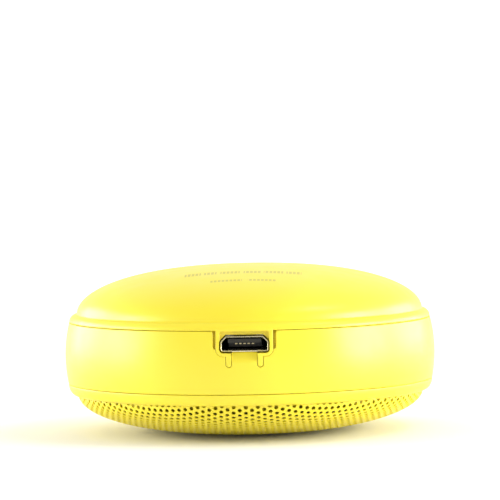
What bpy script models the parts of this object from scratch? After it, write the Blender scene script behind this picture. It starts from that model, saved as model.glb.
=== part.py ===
"""A round, pocket-sized Bluetooth loudspeaker, built as the pieces it comes apart into.

Units are metres and +Z is up. The origin is the middle of the flat that it rests on, which is the centre
of the perforated grille. The charging socket faces -Y and the three buttons face +Y. Every piece that
turns about the middle is drawn as an outline of (radius, height) points and spun about Z.

Where two pieces touch, the later one is placed by the earlier one's size and FIT, a gap that stands for
the contact between them.
"""

import math

import bmesh
import bpy
from mathutils import Matrix, Vector

for old in list(bpy.data.objects):
    bpy.data.objects.remove(old)

MM = 0.001

# Overall sizes
BODY_RADIUS = 30.0 * MM
GRILLE_HEIGHT = 6.3 * MM
BEZEL_HEIGHT = 1.8 * MM
BAND_HEIGHT = 10.0 * MM
RIM_HEIGHT = 1.2 * MM
DOME_HEIGHT = 7.6 * MM
REST_FLAT_RADIUS = 5.5 * MM

# How far each seam lies inside the widest circle of the band
LOWER_SEAM_INSET = 0.46 * MM
UPPER_SEAM_INSET = 0.72 * MM
CREASE_INSET = 1.94 * MM
BEZEL_EDGE_INSET = 1.70 * MM
DOME_POWER = 2.38
DOME_ROOT = 1.976

# Walls and gaps
FIT = 0.15 * MM
LOOSE_FIT = 0.30 * MM
BAND_THICKNESS = 2.4 * MM
REAR_WALL = 1.5 * MM
FRONT_WALL = 1.3 * MM
BAFFLE_THICKNESS = 1.2 * MM
GRILLE_THICKNESS = 0.6 * MM
CLOTH_THICKNESS = 0.25 * MM
GRILLE_REBATE = 0.7 * MM

# Loudspeaker driver
DRIVER_RADIUS = 20.0 * MM
DRIVER_SEAT_WIDTH = 2.4 * MM
GASKET_THICKNESS = 0.7 * MM
FRAME_THICKNESS = 0.6 * MM
SURROUND_ROLL = 1.25 * MM
SURROUND_STEP = 0.7 * MM
SURROUND_THICKNESS = 0.3 * MM
SURROUND_LAND = 1.0 * MM
CONE_TRAVEL = 0.6 * MM
CONE_DEPTH = 3.6 * MM
CONE_THICKNESS = 0.3 * MM
CAP_DEPTH = 1.4 * MM
CAP_OVERLAP = 0.6 * MM
COIL_RADIUS = 6.35 * MM
FORMER_THICKNESS = 0.2 * MM
WINDING_THICKNESS = 0.25 * MM
WINDING_HEIGHT = 2.4 * MM
SPIDER_WAVES = 2
SPIDER_WAVE_HEIGHT = 0.2 * MM
SPIDER_LAND = 0.3 * MM
SPIDER_STEP = 0.5 * MM
SHELF_WIDTH = 1.9 * MM
SHELF_RISE = 1.0 * MM
WINDOW_WIDTH = 7.0 * MM
YOKE_WALL = 2.3 * MM
YOKE_FLOOR = 1.1 * MM
POLE_THICKNESS = 1.0 * MM
MAGNET_THICKNESS = 2.1 * MM
TERMINAL_ANGLE = -30
TERMINAL_SIZE = (5.0 * MM, 0.8 * MM, 3.4 * MM)

# Screws: (shank radius, head radius, head height, length under the head)
CASE_SCREW = (0.95 * MM, 1.70 * MM, 1.1 * MM, 6.3 * MM)
DRIVER_SCREW = (0.70 * MM, 2.10 * MM, 1.0 * MM, 2.2 * MM)
BOARD_SCREW = (0.70 * MM, 1.50 * MM, 1.0 * MM, 3.6 * MM)
CASE_BOSS_RADIUS = 2.3 * MM
CASE_COLUMN_RADIUS = 2.5 * MM
DRIVER_BOSS_RADIUS = 1.35 * MM
BOARD_POST_RADIUS = 1.8 * MM
SCREW_ENGAGEMENT = 4.0 * MM
COLUMN_RISE = 1.2 * MM
COLUMN_DROP = 0.9 * MM
CASE_SCREW_ANGLES = (45, 135, 225, 315)
DRIVER_SCREW_ANGLES = (0, 90, 180, 270)
BOARD_SCREW_ANGLES = (20, 160, 200, 340)
BOARD_SCREW_INSET = 5.6 * MM

# Circuit board and what it carries
BOARD_THICKNESS = 0.8 * MM
BOARD_BELOW_SEAM = 0.75 * MM
BOARD_EDGE_GAP = 0.8 * MM
CELL_SIZE = (29.0 * MM, 24.0 * MM, 3.8 * MM)
CELL_PAD_THICKNESS = 0.4 * MM
MODULE_SIZE = (10.0 * MM, 10.0 * MM, 1.6 * MM)
CHIP_SIZE = (4.0 * MM, 4.0 * MM, 0.8 * MM)
INDUCTOR_SIZE = (4.0 * MM, 4.0 * MM, 2.0 * MM)
CONNECTOR_SIZE = (5.0 * MM, 3.2 * MM, 3.0 * MM)
MODULE_PLACE = (-17.5 * MM, 0.0)
CHIP_PLACE = (15.0 * MM, -3.5 * MM)
INDUCTOR_PLACE = (15.0 * MM, 3.5 * MM)
SPEAKER_CONNECTOR_PLACE = (8.5 * MM, -17.0 * MM)
BATTERY_CONNECTOR_PLACE = (-8.5 * MM, -17.0 * MM)
CELL_TAB_X = 4.0 * MM
CELL_ROUNDING = 1.5 * MM
INDUCTOR_ROUNDING = 0.8 * MM
LEAD_RADIUS = 0.45 * MM
LEAD_PITCH = 2.2 * MM
LEAD_RUN = 1.6 * MM

# Micro charging socket and the frame round it
SOCKET_WIDTH = 7.45 * MM
SOCKET_HEIGHT = 2.4 * MM
SOCKET_CHAMFER = 0.85 * MM
SOCKET_SHEET = 0.3 * MM
SOCKET_LENGTH = 5.25 * MM
CONTACT_COUNT = 5
CONTACT_PITCH = 0.65 * MM
CONTACT_WIDTH = 0.35 * MM
CONTACT_THICKNESS = 0.15 * MM
TONGUE_SET_BACK = 0.75 * MM
TONGUE_BASE_LENGTH = 0.6 * MM
FRAME_WIDTH = 8.9 * MM
FRAME_WALL = 0.6 * MM
FRAME_CORNER = 1.0 * MM
FRAME_RECESS = 0.8 * MM
LEG_SPACING = 4.9 * MM
LEG_WIDTH = 0.8 * MM
LEG_LENGTH = 1.65 * MM

# Buttons, their switches and the status light
BUTTON_NAMES = ("volume_down", "power", "volume_up")
BUTTON_STEP_DEG = 20
BUTTON_SIZE = (7.0 * MM, 3.6 * MM)
BUTTON_DROP = 4.5 * MM
BUTTON_FLANGE = 0.8 * MM
BUTTON_FLANGE_THICKNESS = 0.65 * MM
BUTTON_TRAVEL = 0.4 * MM
DISH_DEPTH = 0.5 * MM
DISH_BORDER = 1.0 * MM
STEM_SIZE = (2.4 * MM, 1.2 * MM)
SWITCH_SIZE = (6.0 * MM, 3.3 * MM, 4.2 * MM)
PLUNGER_SIZE = (2.0 * MM, 1.0 * MM)
PLUNGER_REACH = 0.9 * MM
PLUNGER_DROP_SHARE = 0.64
LIGHT_ANGLE = 56
LIGHT_PIPE_RADIUS = 0.75 * MM
LIGHT_PIPE_DROP = 2.1 * MM
LED_SIZE = (1.6 * MM, 1.2 * MM, 2.0 * MM)

# Facets
WIDE_SEGMENTS = 48
NARROW_SEGMENTS = 24
SCREW_CROWN = 0.75
ENVELOPE_STEPS = 24
SMALL_ARC_STEPS = 6
COLUMN_SEGMENTS = 12
SCREW_SEGMENTS = 8
DOME_STEPS = 6
ARC_STEPS = 3
WELD = 1e-6
PAST = 1.0 * MM

# Heights and radii that follow
BEZEL_EDGE_Z = GRILLE_HEIGHT
LOWER_SEAM_Z = BEZEL_EDGE_Z + BEZEL_HEIGHT
UPPER_SEAM_Z = LOWER_SEAM_Z + BAND_HEIGHT
CREASE_Z = UPPER_SEAM_Z + RIM_HEIGHT
TOP_Z = CREASE_Z + DOME_HEIGHT

LOWER_SEAM_RADIUS = BODY_RADIUS - LOWER_SEAM_INSET
UPPER_SEAM_RADIUS = BODY_RADIUS - UPPER_SEAM_INSET
CREASE_RADIUS = BODY_RADIUS - CREASE_INSET
BEZEL_EDGE_RADIUS = BODY_RADIUS - BEZEL_EDGE_INSET
GRILLE_RADIUS = BEZEL_EDGE_RADIUS - FIT - LOOSE_FIT / 2
GRILLE_RIM_Z = BEZEL_EDGE_Z + GRILLE_REBATE - FIT
BAND_INNER_RADIUS = BODY_RADIUS - BAND_THICKNESS
WALL_OUTER_RADIUS = BAND_INNER_RADIUS - LOOSE_FIT
WALL_INNER_RADIUS = WALL_OUTER_RADIUS - FRONT_WALL
WALL_TOP_Z = UPPER_SEAM_Z - BOARD_BELOW_SEAM - LOOSE_FIT
REAR_INNER_RADIUS = UPPER_SEAM_RADIUS - REAR_WALL - LOOSE_FIT
CASE_SCREW_RADIUS = WALL_INNER_RADIUS - CASE_BOSS_RADIUS - LOOSE_FIT

BOARD_Z = UPPER_SEAM_Z - BOARD_BELOW_SEAM
BOARD_TOP_Z = BOARD_Z + BOARD_THICKNESS
BOARD_RADIUS = REAR_INNER_RADIUS - BOARD_EDGE_GAP
SOCKET_Z = BOARD_Z - FIT - SOCKET_HEIGHT / 2
FRAME_DROP = BOARD_BELOW_SEAM + FIT + SOCKET_HEIGHT + FRAME_WALL
BUTTON_Z = UPPER_SEAM_Z - BUTTON_DROP
PLUNGER_Z = BOARD_Z - FIT - PLUNGER_DROP_SHARE * SWITCH_SIZE[2]


# ---------------------------------------------------------------- shapes


def paint(name, colour, roughness, metallic=0.0):
    """A material: colour is linear (red, green, blue)."""
    made = bpy.data.materials.new(name)
    made.use_nodes = True
    shader = made.node_tree.nodes["Principled BSDF"]
    shader.inputs["Base Color"].default_value = (*colour, 1.0)
    shader.inputs["Roughness"].default_value = roughness
    shader.inputs["Metallic"].default_value = metallic
    return made


def to_object(bm, name, material, parent=None):
    """Turns a bmesh into a smooth-shaded object in the scene."""
    bmesh.ops.recalc_face_normals(bm, faces=bm.faces)
    mesh = bpy.data.meshes.new(name)
    bm.to_mesh(mesh)
    bm.free()
    mesh.shade_smooth()
    mesh.set_sharp_from_angle(angle=math.radians(35))
    if material:
        mesh.materials.append(material)
    obj = bpy.data.objects.new(name, mesh)
    bpy.context.scene.collection.objects.link(obj)
    obj.parent = parent
    return obj


def empty(name, location=(0, 0, 0), turn_deg=0.0, parent=None):
    """A frame of reference for pieces that are drawn about their own axis."""
    obj = bpy.data.objects.new(name, None)
    obj.location = location
    obj.rotation_euler = (0, 0, math.radians(turn_deg))
    obj.parent = parent
    bpy.context.scene.collection.objects.link(obj)
    return obj


def turned(name, outline, material, segments=WIDE_SEGMENTS, parent=None):
    """Spins an outline of (radius, height) points about Z. It closes on itself, or on the axis."""
    bm = bmesh.new()
    verts = [bm.verts.new((r, 0, z)) for r, z in outline]
    on_axis = outline[0][0] < WELD and outline[-1][0] < WELD
    ends = verts[1:] if on_axis else verts[1:] + verts[:1]
    edges = [bm.edges.new(pair) for pair in zip(verts, ends)]
    bmesh.ops.spin(
        bm, geom=verts + edges, axis=(0, 0, 1), angle=math.tau, steps=segments, use_merge=True
    )
    bmesh.ops.remove_doubles(bm, verts=bm.verts, dist=WELD)
    return to_object(bm, name, material, parent)


def slab(name, outline, start, end, material, parent=None):
    """Extrudes an outline of (x, z) points along Y from start to end."""
    bm = bmesh.new()
    face = bm.faces.new([bm.verts.new((x, start, z)) for x, z in outline])
    grown = bmesh.ops.extrude_face_region(bm, geom=[face])["geom"]
    moved = [v for v in grown if isinstance(v, bmesh.types.BMVert)]
    bmesh.ops.translate(bm, verts=moved, vec=(0, end - start, 0))
    return to_object(bm, name, material, parent)


def block(name, low, high, material, parent=None, rounding=0.0):
    """A box between two corners, with its upright edges rounded if asked."""
    bm = bmesh.new()
    low, high = Vector(low), Vector(high)
    size = high - low
    bmesh.ops.create_cube(
        bm, size=1.0, matrix=Matrix.Translation((low + high) / 2) @ Matrix.Diagonal((*size, 1.0))
    )
    if rounding:
        upright = [e for e in bm.edges if abs((e.verts[0].co - e.verts[1].co).z) > size.z / 2]
        bmesh.ops.bevel(
            bm, geom=upright, offset=rounding, segments=ARC_STEPS, profile=0.5, affect="EDGES", material=-1
        )
    return to_object(bm, name, material, parent)


def columns(name, places, radius, bottom, top, segments=COLUMN_SEGMENTS):
    """Upright round bars at (x, y) places, in one mesh, for a Boolean to use."""
    bm = bmesh.new()
    for x, y in places:
        bmesh.ops.create_cone(
            bm,
            cap_ends=True,
            segments=segments,
            radius1=radius,
            radius2=radius,
            depth=top - bottom,
            matrix=Matrix.Translation((x, y, (bottom + top) / 2)),
        )
    return as_tool(to_object(bm, name, None))


def as_tool(obj):
    """Marks a cutter or a blank, which isn't a piece of the speaker."""
    obj.hide_render = True
    obj.display_type = "WIRE"
    return obj


def combine(obj, operation, tool):
    """Adds a Boolean: DIFFERENCE cuts the tool away, UNION joins it, INTERSECT keeps what they share."""
    modifier = obj.modifiers.new(f"{operation.lower()} {tool.name}", "BOOLEAN")
    modifier.operation = operation
    modifier.object = tool
    modifier.solver = "EXACT"


def cylinder_along_y(name, radius, z, start, end, material, parent=None, segments=12):
    outline = circle_points((0, z), radius, segments)
    return slab(name, outline, start, end, material, parent)


# ---------------------------------------------------------------- outlines


def circle_points(centre, radius, count):
    cx, cz = centre
    turns = [math.tau * k / count for k in range(count)]
    return [(cx + radius * math.cos(a), cz + radius * math.sin(a)) for a in turns]


def arc(centre, radius, start_deg, end_deg, steps=ARC_STEPS):
    """Points along an arc, both ends included. A pair of radii gives an elliptical arc."""
    wide, tall = radius if isinstance(radius, tuple) else (radius, radius)
    found = []
    for k in range(steps + 1):
        a = math.radians(start_deg + (end_deg - start_deg) * k / steps)
        found.append((centre[0] + wide * math.cos(a), centre[1] + tall * math.sin(a)))
    return found


def pill(width, height, z=0.0):
    """A slot shape of (x, z) points with half-round ends."""
    radius = height / 2
    run = width / 2 - radius
    right = arc((run, z), radius, -90, 90, SMALL_ARC_STEPS)
    left = arc((-run, z), radius, 90, 270, SMALL_ARC_STEPS)
    return right + left


def offset(points, distance):
    """The same line moved sideways, to its left, by a distance."""
    found = []
    for k, (r, z) in enumerate(points):
        before = points[max(k - 1, 0)]
        after = points[min(k + 1, len(points) - 1)]
        run, rise = after[0] - before[0], after[1] - before[1]
        length = math.hypot(run, rise)
        found.append((r - distance * rise / length, z + distance * run / length))
    if points[0][0] < WELD:
        found[0] = (0.0, found[0][1])
    if points[-1][0] < WELD:
        found[-1] = (0.0, found[-1][1])
    return found


def sheet(points, thickness):
    """The closed outline of a thin sheet that follows a line, thickened to its left."""
    return points + offset(points, thickness)[::-1]


def on_circle(radius, angles):
    """(x, y) places at angles in degrees."""
    return [(radius * math.cos(math.radians(a)), radius * math.sin(math.radians(a))) for a in angles]


def grille_line():
    """The grille's outer face from its centre to its rim: a flat, then a quarter of an ellipse."""
    reach = GRILLE_RADIUS - REST_FLAT_RADIUS
    curve = arc((REST_FLAT_RADIUS, GRILLE_HEIGHT), (reach, GRILLE_HEIGHT), -90, 0, DOME_STEPS)
    return [(0.0, 0.0)] + curve


def dome_line(inset=0.0):
    """The rear dome from its top to the crease, on a superellipse, drawn inset below its surface."""
    radius, height = CREASE_RADIUS - inset, DOME_HEIGHT - inset
    found = []
    for k in range(DOME_STEPS + 1):
        share = math.sin(math.pi / 2 * k / DOME_STEPS)
        rise = (1 - share**DOME_POWER) ** (1 / DOME_ROOT) if k < DOME_STEPS else 0.0
        found.append((radius * share, CREASE_Z + height * rise))
    return found


def band_radius(z):
    """The band's barrel: widest at the height where both seams' insets agree."""
    return BODY_RADIUS - (z - BAND_WIDEST_Z) ** 2 * BAND_BOW


def barrel():
    """(height of the widest circle, how fast the radius falls away from it)."""
    share = math.sqrt(UPPER_SEAM_INSET / LOWER_SEAM_INSET)
    widest = (UPPER_SEAM_Z + share * LOWER_SEAM_Z) / (1 + share)
    return widest, UPPER_SEAM_INSET / (UPPER_SEAM_Z - widest) ** 2


def grille_height(radius):
    """The height of the grille's outer face at a radius."""
    share = (radius - REST_FLAT_RADIUS) / (GRILLE_RADIUS - REST_FLAT_RADIUS)
    return GRILLE_HEIGHT * (1 - math.sqrt(1 - share**2))


# Heights that follow from the outlines
BAND_WIDEST_Z, BAND_BOW = barrel()
SEAT_OUTER_RADIUS = DRIVER_RADIUS + 2 * (LOOSE_FIT + DRIVER_BOSS_RADIUS) - FRONT_WALL / 2
GRILLE_STACK = GRILLE_THICKNESS + CLOTH_THICKNESS + FIT
BAFFLE_FLOOR_Z = grille_height(SEAT_OUTER_RADIUS) + GRILLE_STACK + 2 * LOOSE_FIT
SEAT_TOP_Z = BAFFLE_FLOOR_Z + BAFFLE_THICKNESS


def band_line(low, high, proud=0.0, steps=6):
    """The band's outer face between two heights, upwards."""
    heights = [low + (high - low) * k / steps for k in range(steps + 1)]
    return [(band_radius(z) + proud, z) for z in heights]


# ---------------------------------------------------------------- materials

SATIN_YELLOW = paint("satin_yellow", (0.95, 0.80, 0.045), 0.42)
GRILLE_YELLOW = paint("grille_yellow", (0.95, 0.80, 0.06), 0.38, 0.1)
BLACK_CLOTH = paint("black_cloth", (0.015, 0.014, 0.012), 0.95)
FOAM = paint("foam", (0.03, 0.03, 0.03), 0.95)
STEEL = paint("steel", (0.56, 0.56, 0.55), 0.32, 1.0)
DARK_STEEL = paint("dark_steel", (0.10, 0.10, 0.10), 0.45, 1.0)
PAPER = paint("paper_pulp", (0.03, 0.03, 0.03), 0.85)
RUBBER = paint("rubber", (0.02, 0.02, 0.02), 0.6)
AMBER_CLOTH = paint("treated_cloth", (0.35, 0.17, 0.04), 0.8)
COPPER = paint("copper", (0.75, 0.30, 0.13), 0.3, 1.0)
MAGNET = paint("nickel_magnet", (0.60, 0.58, 0.54), 0.25, 1.0)
BOARD_GREEN = paint("board", (0.01, 0.10, 0.035), 0.4)
BLACK_PLASTIC = paint("black_plastic", (0.012, 0.012, 0.012), 0.45)
GOLD = paint("gold", (0.83, 0.60, 0.25), 0.25, 1.0)
WHITE_PLASTIC = paint("white_plastic", (0.80, 0.79, 0.74), 0.5)
CELL_FOIL = paint("cell_foil", (0.55, 0.56, 0.58), 0.35, 0.6)
RED_LEAD = paint("red_lead", (0.55, 0.02, 0.015), 0.45)
BLACK_LEAD = paint("black_lead", (0.02, 0.02, 0.02), 0.45)
CLEAR = paint("clear_plastic", (0.85, 0.87, 0.90), 0.1)


# ---------------------------------------------------------------- charging socket


def socket_outline(grow=0.0):
    """The socket's section: flat below, with its two upper corners cut off."""
    half, tall = SOCKET_WIDTH / 2 + grow, SOCKET_HEIGHT / 2 + grow
    cut = SOCKET_CHAMFER + grow * math.tan(math.radians(22.5))
    corners = [(-half, -tall), (half, -tall), (half, tall - cut), (half - cut, tall)]
    corners += [(-half + cut, tall), (-half, tall - cut)]
    return [(x, SOCKET_Z + z) for x, z in corners]


def socket_face_y():
    """Where the socket's mouth lies: the floor of the recess in the frame."""
    return -(band_radius(SOCKET_Z) - FRAME_RECESS - FIT)


def frame_outline(grow=0.0):
    """The port frame seen from the front: a tab with round lower corners and two legs with round ends."""
    half = FRAME_WIDTH / 2 + grow
    top = UPPER_SEAM_Z + RIM_HEIGHT / 2
    bottom = UPPER_SEAM_Z - FRAME_DROP - grow
    corner = FRAME_CORNER + grow
    leg_half = LEG_WIDTH / 2 + grow
    leg_middle = LEG_SPACING / 2
    leg_round_z = UPPER_SEAM_Z - FRAME_DROP - LEG_LENGTH + LEG_WIDTH / 2
    right = [(half, top)]
    right += arc((half - corner, bottom + corner), corner, 0, -90)
    right += [(leg_middle + leg_half, bottom)]
    right += arc((leg_middle, leg_round_z), leg_half, 0, -180, SMALL_ARC_STEPS)
    right += [(leg_middle - leg_half, bottom)]
    left = [(-x, z) for x, z in reversed(right)]
    return right + left


def make_socket():
    face, back = socket_face_y(), socket_face_y() + SOCKET_LENGTH
    shell = slab("usb_shell", socket_outline(), face, back, STEEL)
    bore = as_tool(slab("socket_bore", socket_outline(-SOCKET_SHEET), face - PAST, back + PAST, None))
    combine(shell, "DIFFERENCE", bore)

    inner_half = SOCKET_WIDTH / 2 - SOCKET_SHEET - SOCKET_CHAMFER
    inner_tall = SOCKET_HEIGHT / 2 - SOCKET_SHEET
    tongue_bottom, tongue_top = SOCKET_Z + FIT, SOCKET_Z + inner_tall - FIT
    tongue = block(
        "usb_tongue",
        (-inner_half, face + TONGUE_SET_BACK, tongue_bottom),
        (inner_half, back - FIT, tongue_top),
        BLACK_PLASTIC,
    )
    base = block(
        "tongue_base",
        (-inner_half, back - TONGUE_BASE_LENGTH, SOCKET_Z - inner_tall + FIT),
        (inner_half, back - FIT, tongue_top),
        None,
    )
    combine(tongue, "UNION", as_tool(base))
    contact_top = tongue_bottom - FIT / 2
    for k in range(CONTACT_COUNT):
        x = (k - (CONTACT_COUNT - 1) / 2) * CONTACT_PITCH
        block(
            f"usb_contact_{k + 1}",
            (x - CONTACT_WIDTH / 2, face + TONGUE_SET_BACK + FIT, contact_top - CONTACT_THICKNESS),
            (x + CONTACT_WIDTH / 2, back - TONGUE_BASE_LENGTH - FIT, contact_top),
            GOLD,
        )


# ---------------------------------------------------------------- casing


def make_rear_shell():
    """The domed back with its rim, screw bosses, board posts and the port frame that hangs from the rim."""
    rim = arc((CREASE_RADIUS, UPPER_SEAM_Z), (UPPER_SEAM_RADIUS - CREASE_RADIUS, RIM_HEIGHT), 90, 0)
    outside = dome_line() + rim[1:]
    shoulder_z = CREASE_Z - REAR_WALL / 2
    inside = [p for p in dome_line(REAR_WALL) if p[0] < REAR_INNER_RADIUS - WELD]
    inside_end = [(REAR_INNER_RADIUS, shoulder_z), (REAR_INNER_RADIUS, UPPER_SEAM_Z)]
    shell = turned("rear_shell", outside + inside_end[::-1] + inside[::-1], SATIN_YELLOW)

    core = as_tool(turned("dome_core", dome_line(REAR_WALL / 2) + [(0.0, 0.0)], None))
    bosses = columns(
        "rear_bosses", on_circle(CASE_SCREW_RADIUS, CASE_SCREW_ANGLES), CASE_BOSS_RADIUS,
        front_column_top() + FIT, TOP_Z + PAST,
    )
    posts = columns(
        "board_posts", board_screw_places(), BOARD_POST_RADIUS, BOARD_TOP_Z + FIT, TOP_Z + PAST
    )
    for blank in (bosses, posts):
        combine(blank, "INTERSECT", core)
        combine(shell, "UNION", blank)

    frame_back = -WALL_OUTER_RADIUS - FIT
    frame = as_tool(slab("port_frame", frame_outline(), -BODY_RADIUS - PAST, frame_back, None))
    envelope = band_line(0.0, TOP_Z, steps=ENVELOPE_STEPS)
    hull = as_tool(turned("band_envelope", [(0.0, 0.0)] + envelope + [(0.0, TOP_Z)], None))
    combine(frame, "INTERSECT", hull)
    combine(shell, "UNION", frame)

    for tool in port_cutters():
        combine(shell, "DIFFERENCE", tool)
    boss_holes = columns(
        "boss_holes", on_circle(CASE_SCREW_RADIUS, CASE_SCREW_ANGLES), CASE_SCREW[0] + FIT,
        LOWER_SEAM_Z, front_column_top() + SCREW_ENGAGEMENT + FIT, SCREW_SEGMENTS,
    )
    post_holes = columns(
        "post_holes", board_screw_places(), BOARD_SCREW[0] + FIT,
        BOARD_TOP_Z - PAST, BOARD_Z - FIT + BOARD_SCREW[3] + LOOSE_FIT, SCREW_SEGMENTS,
    )
    combine(shell, "DIFFERENCE", boss_holes)
    combine(shell, "DIFFERENCE", post_holes)


def port_cutters():
    """The recess in the port frame, the gap in its lower wall, and the socket's own cut-out."""
    half = FRAME_WIDTH / 2 - FRAME_WALL
    floor = socket_face_y() - FIT
    recess_bottom = UPPER_SEAM_Z - FRAME_DROP + FRAME_WALL
    leg_gap = LEG_SPACING / 2 - LEG_WIDTH / 2
    front = -BODY_RADIUS - PAST
    recess = block("port_recess", (-half, front, recess_bottom), (half, floor, UPPER_SEAM_Z - WELD), None)
    lip = block(
        "port_lip_gap",
        (-leg_gap, front, UPPER_SEAM_Z - FRAME_DROP - PAST),
        (leg_gap, floor, recess_bottom + FIT),
        None,
    )
    mouth = slab("socket_cutout", socket_outline(FIT), front, -WALL_INNER_RADIUS, None)
    return [as_tool(tool) for tool in (recess, lip, mouth)]


def make_side_band():
    """The barrel-shaped band, notched for the port frame and pierced for the buttons and the light."""
    low, high = LOWER_SEAM_Z + FIT, UPPER_SEAM_Z - FIT
    inside = [(BAND_INNER_RADIUS, high), (BAND_INNER_RADIUS, low)]
    band = turned("side_band", band_line(low, high) + inside, SATIN_YELLOW)
    notch = slab("frame_notch", frame_outline(LOOSE_FIT), -BODY_RADIUS - PAST, -WALL_INNER_RADIUS, None)
    combine(band, "DIFFERENCE", as_tool(notch))
    combine(band, "DIFFERENCE", button_dish())
    for name, turn in button_turns():
        hub = empty(f"{name}_openings", turn_deg=turn)
        pocket_size = [s + 2 * (BUTTON_FLANGE + LOOSE_FIT) for s in BUTTON_SIZE]
        opening_size = [s + 2 * FIT for s in BUTTON_SIZE]
        pocket = pill(*pocket_size, BUTTON_Z)
        opening = pill(*opening_size, BUTTON_Z)
        pocket_floor = flange_outer_y() + FIT
        cuts = (("pocket", pocket, pocket_floor), ("opening", opening, BODY_RADIUS + PAST))
        for kind, outline, end in cuts:
            tool = slab(f"{name}_{kind}", outline, WALL_INNER_RADIUS, end, None, hub)
            combine(band, "DIFFERENCE", as_tool(tool))
    combine(band, "DIFFERENCE", light_hole("band_light_hole"))


def button_dish():
    """A cutter for the shallow dish that the buttons stand in, as deep all along as the band is round."""
    reach = BODY_RADIUS * math.sin(math.radians(BUTTON_STEP_DEG)) + BUTTON_SIZE[0] / 2 + DISH_BORDER
    height = BUTTON_SIZE[1] + 2 * DISH_BORDER
    dish = slab("button_dish", pill(2 * reach, height, BUTTON_Z), 0.0, BODY_RADIUS + PAST, None)
    floor = band_line(0.0, TOP_Z, -DISH_DEPTH, ENVELOPE_STEPS)
    core = as_tool(turned("dish_floor", [(0.0, 0.0)] + floor + [(0.0, TOP_Z)], None))
    combine(dish, "DIFFERENCE", core)
    return as_tool(dish)


def front_column_top():
    """Where a front screw column meets the rear shell's boss."""
    return LOWER_SEAM_Z + COLUMN_RISE


def column_floor_z():
    """The underside of a front screw column, just above the grille's cloth."""
    return BEZEL_EDGE_Z - COLUMN_DROP


def make_front_housing():
    """The bezel, the wall that the band slides over, and the dished baffle that carries the driver."""
    seat_inner = DRIVER_RADIUS - DRIVER_SEAT_WIDTH
    rebate_z = BEZEL_EDGE_Z + GRILLE_REBATE
    rebate_radius = BEZEL_EDGE_RADIUS - FIT
    run = LOWER_SEAM_RADIUS - BEZEL_EDGE_RADIUS
    bezel = arc((BEZEL_EDGE_RADIUS, LOWER_SEAM_Z), (run, BEZEL_HEIGHT), -90, 0)
    floor_z = rebate_z + FRONT_WALL
    outline = bezel + [
        (WALL_OUTER_RADIUS, LOWER_SEAM_Z),
        (WALL_OUTER_RADIUS, WALL_TOP_Z),
        (WALL_INNER_RADIUS, WALL_TOP_Z),
        (WALL_INNER_RADIUS, floor_z),
        (SEAT_OUTER_RADIUS, SEAT_TOP_Z),
        (seat_inner, SEAT_TOP_Z),
        (seat_inner, BAFFLE_FLOOR_Z),
        (SEAT_OUTER_RADIUS + FIT, BAFFLE_FLOOR_Z),
        (WALL_INNER_RADIUS + LOOSE_FIT, rebate_z),
        (rebate_radius, rebate_z),
        (rebate_radius, BEZEL_EDGE_Z + FIT / 2),
    ]
    housing = turned("front_housing", outline, SATIN_YELLOW)

    case_places = on_circle(CASE_SCREW_RADIUS, CASE_SCREW_ANGLES)
    combine(
        housing, "UNION",
        columns("front_columns", case_places, CASE_COLUMN_RADIUS, column_floor_z(), front_column_top()),
    )
    combine(
        housing, "UNION",
        columns(
            "driver_bosses", driver_screw_places(), DRIVER_BOSS_RADIUS,
            (BAFFLE_FLOOR_Z + SEAT_TOP_Z) / 2, driver_boss_top(),
        ),
    )
    combine(
        housing, "DIFFERENCE",
        columns("head_pockets", case_places, CASE_SCREW[1] + LOOSE_FIT, 0.0, case_head_z() + FIT),
    )
    combine(
        housing, "DIFFERENCE",
        columns("case_holes", case_places, CASE_SCREW[0] + FIT, 0.0, UPPER_SEAM_Z, SCREW_SEGMENTS),
    )
    hole_bottom = driver_head_z() - DRIVER_SCREW[3] - FIT
    combine(
        housing, "DIFFERENCE",
        columns(
            "driver_holes", driver_screw_places(), DRIVER_SCREW[0] + FIT,
            hole_bottom, UPPER_SEAM_Z, SCREW_SEGMENTS,
        ),
    )

    half = SOCKET_WIDTH / 2 + 2 * LOOSE_FIT
    port = block(
        "wall_port",
        (-half, -BODY_RADIUS + BAND_THICKNESS / 2, SOCKET_Z - SOCKET_HEIGHT / 2 - LOOSE_FIT),
        (half, -WALL_INNER_RADIUS + PAST, WALL_TOP_Z + PAST),
        None,
    )
    combine(housing, "DIFFERENCE", as_tool(port))
    for name, turn in button_turns():
        hub = empty(f"{name}_wall_slot", turn_deg=turn)
        stem_half, stem_tall = (s / 2 + LOOSE_FIT for s in STEM_SIZE)
        slot = block(
            f"{name}_slot",
            (-stem_half, WALL_INNER_RADIUS - PAST, PLUNGER_Z - stem_tall),
            (stem_half, WALL_OUTER_RADIUS + PAST, PLUNGER_Z + stem_tall),
            None,
            hub,
        )
        combine(housing, "DIFFERENCE", as_tool(slot))
    combine(housing, "DIFFERENCE", light_hole("wall_light_hole"))


def make_grille():
    """The pressed grille and the cloth stretched behind it. Its fine holes are left out of this solid."""
    face = grille_line()
    rim = [(GRILLE_RADIUS, GRILLE_RIM_Z), (GRILLE_RADIUS - GRILLE_THICKNESS, GRILLE_RIM_Z)]
    back = [p for p in offset(face, GRILLE_THICKNESS) if p[0] < rim[1][0] - WELD]
    turned("grille", face + rim + back[::-1], GRILLE_YELLOW)

    behind = offset(face, GRILLE_THICKNESS + FIT)
    edge = GRILLE_RADIUS - GRILLE_THICKNESS - 2 * LOOSE_FIT
    line = [p for p in behind if p[0] < edge]
    turned("grille_cloth", sheet(line, CLOTH_THICKNESS), BLACK_CLOTH)


# ---------------------------------------------------------------- driver


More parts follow.
